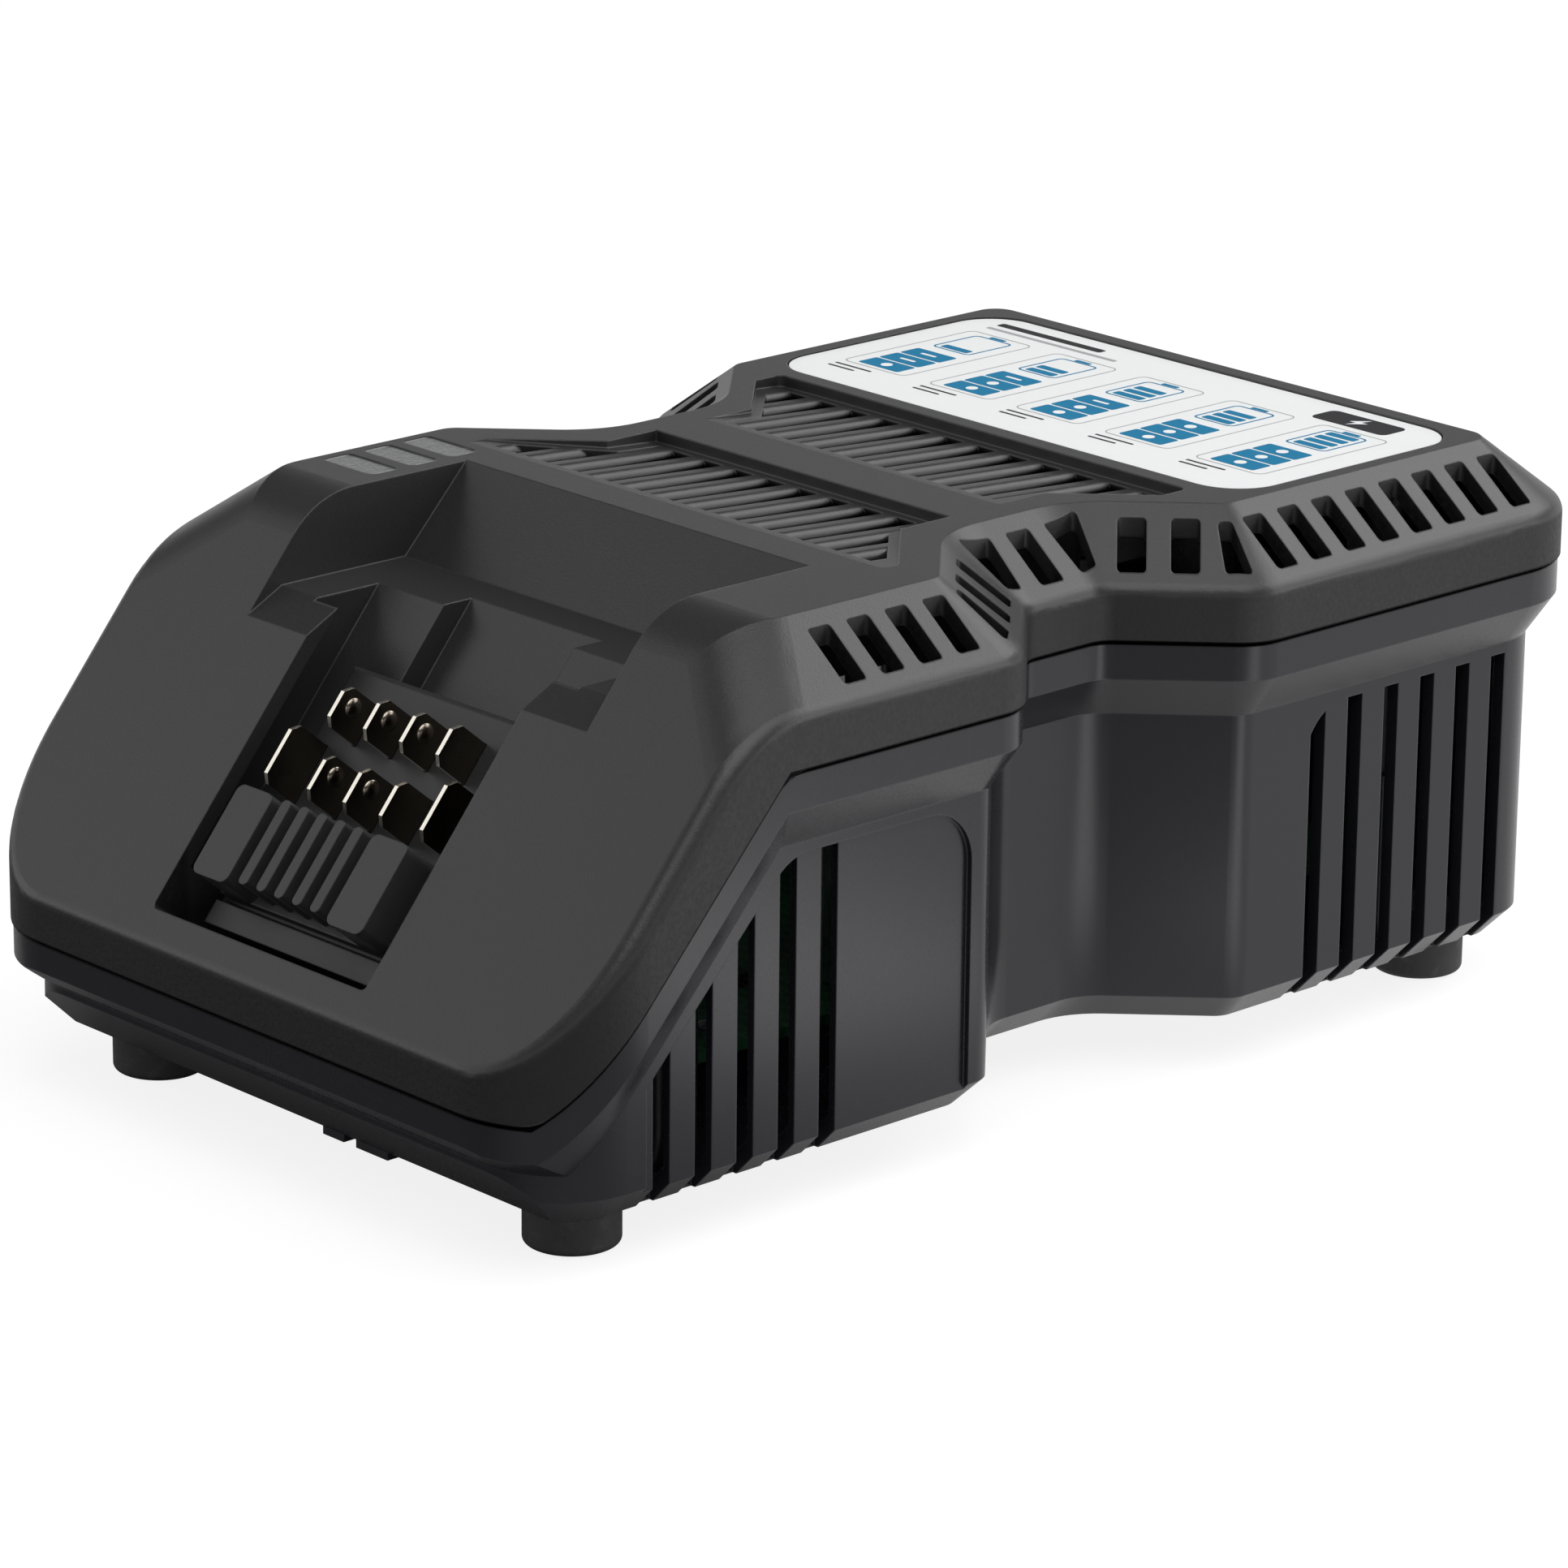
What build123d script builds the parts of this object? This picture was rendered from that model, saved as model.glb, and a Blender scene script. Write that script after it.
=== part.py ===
from build123d import *
import os
from math import cos, hypot, radians, sin, sqrt, tan

os.makedirs("parts", exist_ok=True)

# Desktop fast charger for slide-on power tool batteries.
# Frame: X to the right, Y to the back, Z up; origin on the ground, under the middle of the case.
# All lengths are in millimetres.

# ------------------------------------------------------------------ case plan (an hourglass)
half_width = 71.0
waist_half = 53.2
nose_y = -114.5
back_y = 114.5
waist_front_y = -0.7
waist_back_y = 15.5
nose_corner_r = 20.0
back_corner_r = 17.0
hip_r = 10.0
waist_r = 5.0
least_r = 4.0

# ------------------------------------------------------------------ case heights
deck_z = 92.3
base_z = 8.0
band_run = 13.5
band_drop = 10.6
seam_z = 73.1
seam_gap = 0.4
seam_bend_y = -67.0
seam_flat_y = -110.2
seam_nose_z = 26.0
seam_bend_r = 8.0
seam_nose_r = 6.0
shell_wall = 2.6
overcut = 5.0
edge_slack = 0.1

# ------------------------------------------------------------------ ramp and its rounded edges
ramp_angle = 50.36
nose_edge_z = 33.4
ramp_blend_r = 16.0
ramp_edge_r = 3.0

# ------------------------------------------------------------------ lower shell
rim_inset = 0.4
side_flare = 4.7
rim_height = 6.1
side_flare_height = 7.0
slope_flare_height = 10.3
nose_rim_height = 5.5
nose_flare_height = 3.5
foot_bevel = 4.7
foot_bevel_height = 4.8
nose_bevel_rise = 8.0
nose_bevel_run = 7.4
lower_wall = 2.4
tongue_wall = 1.4
tongue_rise = 3.0
tongue_root = 4.0
fit_clearance = 0.3

# ------------------------------------------------------------------ battery dock
dock_half = 40.3
dock_back_y = -34.9
dock_foot_y = -47.8
dock_floor_z = 78.7
dock_lip_y = -73.0
dock_nose_y = -79.9
dock_wall = 2.4
dock_skirt = 4.0
opening_half = 25.6
opening_low = 5.5
opening_corner_r = 3.0
rail_half = 31.3
rail_skin = 2.8
rail_low = 14.0
rail_depth = 12.6
key_half = 15.4
key_depth = 17.0
well_top = 55.0
block_side = 2.3
well_corner_r = 1.0
rail_wall = 2.3
block_depth = 19.2

# ------------------------------------------------------------------ vents in the sloping band
vent_pitch = 7.85
vent_width = 4.6
vent_outer = 2.7
vent_inner = 11.1
vent_r = 0.7
front_vent_y = -51.5
front_vents = 4
rear_vent_y = 41.8
rear_vents = 8
hip_vent_steps = (4.6, 13.05)
waist_vent_width = 5.0
waist_corner_vent = ((42.1, 5.9), (42.1, 13.0), (50.2, 9.8), (50.2, 6.6))
hip_corner_vent = ((58.4, 28.3), (59.8, 30.2), (67.8, 27.1), (64.9, 23.7))

# ------------------------------------------------------------------ top grilles
grille_pitch = 7.5
grille_slots = 12
grille_slot_width = 3.2
grille_depth = 2.0
grille_backing = 2.2
grille_edge = 1.8
grille_side_edge = 2.6
grille_border = 1.0
grille_round = 1.5
grille_corner_r = 1.5
front_grille_ys = (-27.5, -24.2, -10.1, 0.6)
front_grille_halves = (48.6, 34.4)
rear_grille_ys = (40.3, 34.6, 21.4, 11.2)
rear_grille_halves = (47.4, 34.2)

# ------------------------------------------------------------------ label and indicator windows
label_half = 54.6
label_front_y = 44.0
label_back_y = 97.4
label_corner_r = 8.5
label_thickness = 0.5
label_recess = 0.75
label_clearance = 0.3
window_inset = 21.4
window_length = 12.6
window_width = 5.5
window_front_y = -49.2
window_pitch = 8.25
window_count = 3
window_r = 1.3
window_depth = 5.2
window_sink = 0.2
window_clearance = 0.1
window_lip = 0.7

# ------------------------------------------------------------------ side slots and panels
slot_width = 3.4
front_slot_pitch = 8.4
front_slot_y = -53.15
front_slots = 5
rear_slot_pitch = 8.55
rear_slot_y = 95.3
rear_slots = 6
slot_inset = 10.6
slot_top_z = 58.2
slot_fall_y = -62.0
panel_depth = 1.0
panel_back_y = -24.3
panel_low_y = -90.5
panel_low_z = 28.4
panel_corner_r = 9.0
rear_panel_shift = 10.6

# ------------------------------------------------------------------ feet, posts and screws
foot_x = 50.0
foot_ys = (-91.25, 96.25)
foot_r = 7.56
foot_stem_r = 5.0
foot_stem_rise = 3.6
foot_rim = 0.6
foot_fit = 0.05
foot_edge_r = 1.0
post_x = 54.0
post_front_y = -77.5
post_back_y = 77.5
post_meet_z = 40.0
post_gap = 0.2
lower_post_r = 5.8
upper_post_r = 4.4
screw_r = 1.9
screw_head_r = 3.6
screw_head_height = 2.6
screw_seat_z = 14.0
screw_length = 42.0
screw_fit = 0.08
recess_width = 0.9
recess_depth = 1.0
recess_reach = 0.6
peg_y = -100.1
peg_depth = 3.2
peg_drop = 1.5
pegs = ((6.5, 5.0), (15.7, 7.5))

# ------------------------------------------------------------------ contacts
blade_thickness = 0.8
blade_pitch = 8.6
blade_bevel = 1.35
blade_root = -27.0
blade_fit = 0.05
signal_span = (30.3, 38.2)
power_span = (30.3, 40.8)
rear_span = (42.2, 49.4)
signal_tip = -0.9
power_tip = -0.5
rear_tip = -1.0
power_x = 18.6
block_half = 22.4
block_low = 11.5
block_gap = 0.5
block_top = -8.5
block_round = 1.0
flange_half = 31.0
flange_low = 4.0
flange_high = 58.5
flange_height = 2.4
dock_screw_x = 28.6
dock_screw_vs = (16.0, 50.0)
guide_half = 20.3
guide_pad_inner = 12.0
guide_low = 12.7
guide_high = 28.4
guide_rise = 1.5
guide_floor = -6.0
guide_pad_r = 1.5
guide_rib_width = 2.0
guide_rib_pitch = 4.3
guide_ribs = 5
guide_rib_low = 13.6
ledge_low = 7.5
ledge_top = -6.0

# ------------------------------------------------------------------ boards
board_thickness = 1.6
board_z = 19.0
board_half = 44.0
board_front_y = -73.5
board_back_y = 92.5
board_corner_r = 2.0
board_post_x = 39.0
board_post_ys = (-53.5, 86.5)
board_post_r = 3.6
board_screw_r = 1.25
board_screw_length = 8.0
board_head_r = 2.5
board_head_height = 1.8
contact_board_drop = 2.0
contact_board_half = 24.0
contact_board_span = (10.0, 57.0)
light_board_z = 80.4
light_board_side = 6.6
light_board_half = 6.35
light_board_ys = (-59.5, -22.5)
light_post_ys = (-56.2, -25.8)
light_post_r = 2.4
light_width = 5.0
light_length = 4.0
light_height = 3.2

# ------------------------------------------------------------------ cooling fan
fan_y = 6.5
fan_size = 60.0
fan_height = 15.0
fan_top_z = 84.0
fan_corner_r = 4.0
fan_bore_r = 28.2
fan_tip_gap = 1.0
fan_hub_r = 13.0
fan_hub_wall = 1.4
fan_hub_gap = 0.8
fan_blades = 7
fan_blade_thickness = 1.3
fan_blade_chord = 13.0
fan_blade_angle = 38.0
fan_hole_pitch = 50.0
fan_post_r = 3.6
fan_screw_r = 1.7
fan_screw_length = 18.0
fan_head_r = 3.2
fan_head_height = 2.0
shaft_r = 1.5
shaft_running = 0.05
bearing_r = 3.4
strut_width = 3.4
strut_height = 2.2
struts = 4
clip_r = 2.6
clip_height = 0.8
pole_gap = 2.2
pole_gap_depth = 6.0

# ------------------------------------------------------------------ mains gland (its cord is left out)
gland_x = -30.0
gland_z = 42.0
gland_bore_r = 3.75
gland_barrel_r = 6.4
gland_flange_r = 9.5
gland_flange = 3.0
gland_inside = 9.0
gland_nut_r = 9.0
gland_nut_height = 4.0
gland_fit = 0.05

# ------------------------------------------------------------------ power parts on the main board
core_y = 50.5
core_size = (38.0, 14.0, 34.0)
core_leg = 7.0
core_post = 12.0
coil_gap = 0.3
coil_size = (23.0, 28.0)
coil_corner_r = 3.0
bulk_x = -24.0
bulk_y = 78.5
bulk_r = 11.0
bulk_height = 40.0
output_r = 5.0
output_height = 20.0
output_y = -47.5
output_xs = (-24.0, -12.0, 0.0)
choke_x = 22.0
choke_y = 76.5
choke_r = 11.0
choke_hole_r = 5.0
choke_height = 12.0
choke_turns = 14
sink_x = 35.0
sink_y = 6.5
sink_length = 60.0
sink_height = 34.0
sink_base = 3.0
sink_fin = 1.6
sink_fins = 4
sink_depth = 8.0
chip_width = 10.0
chip_height = 15.0
chip_depth = 4.4
chip_pitch = 18.0
chips = 3
chip_foot = 3.0
chip_pin = 0.8
chip_pin_pitch = 2.54
fuse_x = -2.0
fuse_y = 78.5
fuse_r = 2.6
fuse_length = 20.0
fuse_lift = 3.6
clip_width = 4.0
control_x = 20.0
control_y = -37.5
control_size = 10.0
control_height = 1.8
control_pins = 6
control_pin = 0.6
control_pin_length = 1.5
control_pitch = 1.6


# ================================================================== shared geometry
bend_share = tan(radians(22.5))
band_slope = band_drop / band_run
band_slant = hypot(1, band_slope)
band_foot_z = deck_z - band_drop
ramp_cos = cos(radians(ramp_angle))
ramp_sin = sin(radians(ramp_angle))
seam_slope = (seam_z - seam_nose_z) / (seam_bend_y - seam_flat_y)
hip = half_width - waist_half
side_inset = rim_inset + side_flare
deck_under_z = deck_z - shell_wall
waist_mid_y = (waist_front_y + waist_back_y) / 2
floor_z = base_z + lower_wall
board_top_z = board_z + board_thickness
window_x = window_inset - half_width
light_x = window_x - (light_board_side - light_board_half)
ramp_face = Plane(
    origin=(0, nose_y, nose_edge_z), x_dir=(1, 0, 0), z_dir=(0, -ramp_sin, ramp_cos)
)


def plan_corners(inset):
    """Right-hand corners of the case plan, moved inwards by inset, as (x, y, radius)."""
    bend = inset * bend_share
    side = half_width - inset
    waist = waist_half - inset
    return [
        (side, nose_y + inset, max(nose_corner_r - inset, least_r)),
        (side, waist_front_y - hip - bend, max(hip_r - inset, least_r)),
        (waist, waist_front_y - bend, waist_r + inset),
        (waist, waist_back_y + bend, waist_r + inset),
        (side, waist_back_y + hip + bend, max(hip_r - inset, least_r)),
        (side, back_y - inset, max(back_corner_r - inset, least_r)),
    ]


def outline(plane, points, radii=0):
    """A flat face on plane through points, with a radius for each corner."""
    if radii == 0:
        radii = [0] * len(points)
    with BuildSketch(plane) as face:
        with BuildLine():
            FilletPolyline(*points, radius=radii, close=True)
        make_face()
    return face.sketch


def plan(z, inset):
    """The case plan at height z, moved inwards by inset."""
    right = plan_corners(inset)
    loop = right + [(-x, y, r) for x, y, r in reversed(right)]
    return outline(Plane.XY.offset(z), [(x, y) for x, y, r in loop], [r for x, y, r in loop])


def front_plan(z, inset):
    """The front of the case plan at height z, as a plain rounded block moved inwards by inset."""
    side = half_width - inset
    front = nose_y + inset
    radius = nose_corner_r - inset
    points = [(side, front), (side, waist_front_y), (-side, waist_front_y), (-side, front)]
    return outline(Plane.XY.offset(z), points, [radius, 0, 0, radius])


def seam_side(shift, far_z):
    """Side view of everything between the parting line, moved by shift, and height far_z."""
    points = [
        (nose_y - 1, seam_nose_z + shift),
        (seam_flat_y, seam_nose_z + shift),
        (seam_bend_y, seam_z + shift),
        (back_y + 1, seam_z + shift),
        (back_y + 1, far_z),
        (nose_y - 1, far_z),
    ]
    return outline(Plane.YZ, points, [0, seam_nose_r, seam_bend_r, 0, 0, 0])


def slope_plane(drop):
    """The plane of the sloping part of the parting line, moved down by drop."""
    return Plane(origin=(0, seam_bend_y, seam_z - drop), z_dir=(0, -seam_slope, 1))


def ramp_of(body):
    """The flat face of a body that is the ramp."""
    return body.faces().filter_by(ramp_face)[0]


def upper_envelope(inset):
    """Deck and sloping vent band, rounded into the ramp, with each face moved inwards by inset."""
    foot_z = band_foot_z - inset * (band_slant - band_slope)
    rim_run = band_run + inset * (band_slant - 1) / band_slope
    top = deck_z - inset
    ramp_z = nose_edge_z - inset / ramp_cos
    low_z = seam_nose_z - tongue_root
    low_y = nose_y + (low_z - ramp_z) * ramp_cos / ramp_sin
    bend_y = nose_y + (top - ramp_z) * ramp_cos / ramp_sin
    side_view = [(low_y, low_z), (back_y + 1, low_z), (back_y + 1, top), (bend_y, top)]
    with BuildPart() as body:
        extrude(plan(low_z, inset), amount=foot_z - low_z)
        loft([plan(foot_z, inset), plan(top, rim_run)], ruled=True)
        cutter = outline(Plane.YZ, side_view)
        extrude(cutter, amount=half_width + 1, both=True, mode=Mode.INTERSECT)
        rim = [edge for edge in ramp_of(body).edges() if (edge @ 0.5).Z > foot_z + edge_slack]
        fillet(rim, radius=ramp_blend_r - inset)
    return body.part


def lower_envelope(skin):
    """The tub below the parting line with its flared rim, each face moved inwards by skin."""
    rim = rim_inset + skin
    wall = side_inset + skin
    bottom = base_z + skin
    bevel_z = base_z + foot_bevel_height + skin * (1 - bend_share)
    foot = side_inset + foot_bevel + skin * bend_share
    rim_z = seam_z - rim_height
    nose_z = seam_nose_z - nose_rim_height
    with BuildPart() as sloped_rim:
        extrude(front_plan(base_z, rim), amount=deck_z - base_z)
        split(bisect_by=slope_plane(rim_height), keep=Keep.TOP)
    rings = []
    for inset, drop in ((wall, rim_height + slope_flare_height), (rim, rim_height)):
        with BuildPart() as column:
            extrude(front_plan(base_z - deck_z, inset), amount=2 * deck_z)
            ring = section(section_by=slope_plane(drop), mode=Mode.PRIVATE)
        rings.append(ring.face())
    with BuildPart() as front_rim:
        add(sloped_rim.part)
        loft(rings, ruled=True)
    with BuildPart() as nose_rim:
        extrude(plan(nose_z, rim), amount=deck_z - nose_z)
        loft([plan(nose_z - nose_flare_height, wall), plan(nose_z, rim)], ruled=True)
        add(front_rim.part, mode=Mode.INTERSECT)
    with BuildPart() as tub:
        extrude(plan(bevel_z, wall), amount=deck_z - bevel_z)
        loft([plan(bottom, foot), plan(bevel_z, wall)], ruled=True)
        extrude(plan(rim_z, rim), amount=deck_z - rim_z)
        loft([plan(rim_z - side_flare_height, wall), plan(rim_z, rim)], ruled=True)
        add(nose_rim.part)
        bevel = Plane(
            origin=(0, nose_y + side_inset, base_z + nose_bevel_rise),
            z_dir=(0, -nose_bevel_rise, -nose_bevel_run),
        )
        split(bisect_by=bevel.offset(-skin), keep=Keep.BOTTOM)
    return tub.part


def ramp_block(half, span, top, bottom, radius=0.0):
    """A block square to the ramp: half is its half width and span its reach up the ramp."""
    with BuildPart() as block:
        with BuildSketch(ramp_face.offset(bottom)):
            with Locations((0, (span[0] + span[1]) / 2)):
                Rectangle(2 * half, span[1] - span[0])
            if radius > 0:
                fillet(vertices(), radius=radius)
        extrude(amount=top - bottom)
    return block.part


def ramp_section(x, points, radii=0):
    """A flat face across the ramp at x, from points given as (up the ramp, out of the ramp)."""
    across = Plane(
        origin=(x, nose_y, nose_edge_z), x_dir=(0, ramp_cos, ramp_sin), z_dir=(1, 0, 0)
    )
    return outline(across, points, radii)


def grille_plan(z, ys, halves, edge, side_edge, radius=0.0):
    """Plan of a grille pocket, from its wide end to its narrow end, moved inwards."""
    way = 1 if ys[3] > ys[0] else -1
    wide = halves[0] - edge
    narrow = halves[1] - side_edge
    right = [
        (wide, ys[0] + way * edge),
        (wide, ys[1] - way * edge * bend_share),
        (narrow, ys[2] + way * (side_edge - edge * sqrt(2))),
        (narrow, ys[3] - way * edge),
    ]
    points = right + [(-x, y) for x, y in reversed(right)]
    radii = [radius, radius, 0, 0, 0, 0, radius, radius]
    return outline(Plane.XY.offset(z), points, radii)


def screw(head_radius, head_height, radius, length):
    """A pan head screw along Z: its head below the XY plane and its thread above it."""
    with BuildPart() as body:
        with BuildSketch(Plane.XY.offset(-head_height)):
            Circle(head_radius)
        extrude(amount=head_height)
        fillet(body.edges().sort_by(Axis.Z)[0], radius=0.3 * head_height)
        with BuildSketch(Plane.XY.offset(-0.1)):
            Circle(radius)
        extrude(amount=length + 0.1)
        chamfer(body.edges().sort_by(Axis.Z)[-1], length=0.3 * radius)
        with BuildSketch(Plane.XY.offset(-head_height)):
            Rectangle(2 * recess_reach * head_radius, recess_width)
            Rectangle(recess_width, 2 * recess_reach * head_radius)
        extrude(amount=recess_depth, mode=Mode.SUBTRACT)
    return body.part


# ================================================================== upper shell
with BuildPart() as case_skin:
    add(upper_envelope(0))
    ramp_sides = ramp_of(case_skin).edges()
    fillet(
        [edge for edge in ramp_sides if abs((edge @ 0.5).X) > half_width - edge_slack],
        radius=ramp_edge_r,
    )

dock_lean = (dock_back_y - dock_foot_y) / (deck_z - dock_floor_z)
dock_top_y = dock_back_y + overcut * dock_lean
dock_top_z = deck_z + overcut
dock_nose_z = nose_edge_z + (dock_nose_y - nose_y) * ramp_sin / ramp_cos
lip_slope = (dock_floor_z - dock_nose_z) / (dock_lip_y - dock_nose_y)
pocket_side = [
    (dock_top_y, dock_top_z),
    (dock_foot_y, dock_floor_z),
    (dock_lip_y, dock_floor_z),
    (dock_nose_y - overcut, dock_nose_z - overcut * lip_slope),
    (dock_nose_y - overcut, dock_top_z),
]
dock_under_z = dock_floor_z - dock_wall
dock_side = [
    (dock_top_y + dock_wall * sqrt(2), dock_top_z),
    (dock_foot_y + dock_wall, dock_under_z),
    (dock_lip_y - dock_wall / 2, dock_under_z),
    (dock_nose_y - dock_skirt, dock_nose_z - dock_wall - dock_skirt * lip_slope),
    (dock_nose_y - dock_skirt, dock_top_z),
]
block_half_width = rail_half + rail_wall
ramp_high = (deck_z - nose_edge_z + key_depth * ramp_cos) / ramp_sin
block_reach = (dock_floor_z - nose_edge_z + block_depth * ramp_cos) / ramp_sin + dock_wall
grilles = ((front_grille_ys, front_grille_halves), (rear_grille_ys, rear_grille_halves))
posts = [(x, y) for x in (-post_x, post_x) for y in (post_front_y, post_back_y)]
fan_holes = [
    (x, fan_y + y)
    for x in (-fan_hole_pitch / 2, fan_hole_pitch / 2)
    for y in (-fan_hole_pitch / 2, fan_hole_pitch / 2)
]
grille_under_z = deck_under_z - grille_backing
flange_top = -block_depth
flange_under = flange_top - flange_height
dock_screws = [(x, v) for x in (-dock_screw_x, dock_screw_x) for v in dock_screw_vs]
light_board_top_z = light_board_z + board_thickness

with BuildPart() as inner_frame:
    extrude(outline(Plane.YZ, dock_side), amount=dock_half + dock_wall, both=True)
    add(ramp_block(block_half_width, (opening_low - block_side, block_reach), 0, -block_depth))
    for ys, halves in grilles:
        backing = grille_plan(grille_under_z, ys, halves, -grille_border, -grille_border)
        extrude(backing, amount=grille_backing + shell_wall / 2)
    with BuildSketch(Plane.XY.offset(post_meet_z + post_gap / 2)):
        with Locations(*posts):
            Circle(upper_post_r)
    extrude(amount=deck_z)
    with BuildSketch(Plane.XY.offset(fan_top_z)):
        with Locations(*fan_holes):
            Circle(fan_post_r)
    extrude(amount=grille_under_z - fan_top_z + 1)
    with BuildSketch(Plane.XY.offset(light_board_top_z)):
        with Locations(*[(light_x, y) for y in light_post_ys]):
            Circle(light_post_r)
    extrude(amount=deck_z)
    add(case_skin.part, mode=Mode.INTERSECT)

with BuildPart() as vent_cuts:
    with BuildSketch(Plane.XY.offset(band_foot_z - shell_wall)):
        straight = [
            (half_width - (vent_outer + vent_inner) / 2, y)
            for y in [front_vent_y + n * vent_pitch for n in range(front_vents)]
            + [rear_vent_y + n * vent_pitch for n in range(rear_vents)]
        ]
        with Locations(*straight):
            RectangleRounded(vent_inner - vent_outer, vent_width, vent_r)
        with Locations((waist_half - (vent_outer + vent_inner) / 2, waist_mid_y)):
            RectangleRounded(vent_inner - vent_outer, waist_vent_width, vent_r)
        for way in (1, -1):
            for step in hip_vent_steps:
                along = step / sqrt(2)
                inwards = (vent_outer + vent_inner) / 2 / sqrt(2)
                x = waist_half + along - inwards
                y = waist_mid_y + way * (waist_back_y - waist_mid_y + along + inwards)
                with Locations(Location((x, y, 0), (0, 0, -45 * way))):
                    RectangleRounded(vent_inner - vent_outer, vent_width, vent_r)
            for corners in (waist_corner_vent, hip_corner_vent):
                points = [(x, waist_mid_y + way * y) for x, y in corners]
                with BuildLine():
                    FilletPolyline(*points, radius=vent_r, close=True)
                make_face()
        mirror(about=Plane.YZ)
    extrude(amount=deck_z)

with BuildPart() as upper_shell:
    add(case_skin.part)
    add(upper_envelope(shell_wall), mode=Mode.SUBTRACT)
    above = seam_side(seam_gap / 2, 2 * deck_z)
    extrude(above, amount=half_width + 1, both=True, mode=Mode.INTERSECT)
    add(inner_frame.part)
    # battery dock
    extrude(outline(Plane.YZ, pocket_side), amount=dock_half, both=True, mode=Mode.SUBTRACT)
    opening_span = (opening_low, ramp_high)
    opening = ramp_block(opening_half, opening_span, overcut, -rail_depth, opening_corner_r)
    add(opening, mode=Mode.SUBTRACT)
    well_span = (opening_low, well_top)
    well = ramp_block(opening_half, well_span, overcut, -block_depth - overcut, well_corner_r)
    add(well, mode=Mode.SUBTRACT)
    rails = ramp_block(rail_half, (rail_low, ramp_high), -rail_skin, -rail_depth)
    add(rails, mode=Mode.SUBTRACT)
    add(ramp_block(key_half, (well_top - 1, ramp_high), 0, -key_depth), mode=Mode.SUBTRACT)
    # vents and grilles
    add(vent_cuts.part, mode=Mode.SUBTRACT)
    for ys, halves in grilles:
        low = min(ys)
        high = max(ys)
        wedge = [(low, deck_z), (high, deck_z - grille_depth), (high, deck_z + 1), (low, deck_z + 1)]
        slot_half = grille_slot_width / 2
        mouth_half = slot_half + grille_round
        slot_profile = [
            (slot_half, -overcut - grille_backing),
            (slot_half, 0),
            (mouth_half, 0),
            (mouth_half, overcut),
            (-mouth_half, overcut),
            (-mouth_half, 0),
            (-slot_half, 0),
            (-slot_half, -overcut - grille_backing),
        ]
        slot_radii = [0, grille_round - 0.01, 0, 0, 0, 0, grille_round - 0.01, 0]
        with BuildPart(mode=Mode.PRIVATE) as pocket:
            extrude(outline(Plane.YZ, wedge), amount=half_width, both=True)
            tray = grille_plan(deck_z - overcut, ys, halves, 0, 0, grille_corner_r)
            extrude(tray, amount=2 * overcut, mode=Mode.INTERSECT)
        with BuildPart(mode=Mode.PRIVATE) as slots:
            for n in range(grille_slots):
                x = (n - (grille_slots - 1) / 2) * grille_pitch
                across = Plane(origin=(x, low, deck_z), x_dir=(1, 0, 0), z_dir=(0, low - high, grille_depth))
                extrude(outline(across, slot_profile, slot_radii), amount=low - high - grille_depth)
            frame = grille_plan(grille_under_z - 1, ys, halves, grille_edge, grille_side_edge)
            extrude(frame, amount=2 * overcut, mode=Mode.INTERSECT)
        add(pocket.part, mode=Mode.SUBTRACT)
        add(slots.part, mode=Mode.SUBTRACT)
    # label recess and indicator windows
    with BuildSketch(Plane.XY.offset(deck_z - label_recess)):
        with Locations((0, (label_front_y + label_back_y) / 2)):
            RectangleRounded(
                2 * (label_half + label_clearance),
                label_back_y - label_front_y + 2 * label_clearance,
                label_corner_r + label_clearance,
            )
    extrude(amount=label_recess + 1, mode=Mode.SUBTRACT)
    with BuildSketch(Plane.XY.offset(deck_under_z - 1)):
        for n in range(window_count):
            with Locations((window_x, window_front_y + n * window_pitch)):
                RectangleRounded(
                    window_length + 2 * window_clearance,
                    window_width + 2 * window_clearance,
                    window_r + window_clearance,
                )
    extrude(amount=shell_wall + 2, mode=Mode.SUBTRACT)
    # screw holes
    with BuildSketch(Plane.XY.offset(post_meet_z - 1)):
        with Locations(*posts):
            Circle(screw_r + screw_fit)
    extrude(amount=screw_seat_z + screw_length + 1.5 - post_meet_z, mode=Mode.SUBTRACT)
    with BuildSketch(Plane.XY.offset(fan_top_z - 1)):
        with Locations(*fan_holes):
            Circle(fan_screw_r + screw_fit)
    extrude(amount=fan_screw_length - fan_height + 1.2, mode=Mode.SUBTRACT)
    with BuildSketch(Plane.XY.offset(light_board_top_z - 1)):
        with Locations(*[(light_x, y) for y in light_post_ys]):
            Circle(board_screw_r + screw_fit)
    extrude(amount=board_screw_length - board_thickness + 1.2, mode=Mode.SUBTRACT)
    with BuildSketch(ramp_face.offset(flange_top - 1)):
        with Locations(*dock_screws):
            Circle(board_screw_r + screw_fit)
    extrude(amount=board_screw_length - flange_height + 1.2, mode=Mode.SUBTRACT)
upper_shell.part.label = "upper_shell"
export_step(upper_shell.part, "parts/upper_shell.step")

with BuildPart() as label_plate:
    with BuildSketch(Plane.XY.offset(deck_z - label_recess)):
        with Locations((0, (label_front_y + label_back_y) / 2)):
            RectangleRounded(2 * label_half, label_back_y - label_front_y, label_corner_r)
    extrude(amount=label_thickness)
label_plate.part.label = "label_plate"
export_step(label_plate.part, "parts/label_plate.step")

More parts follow.
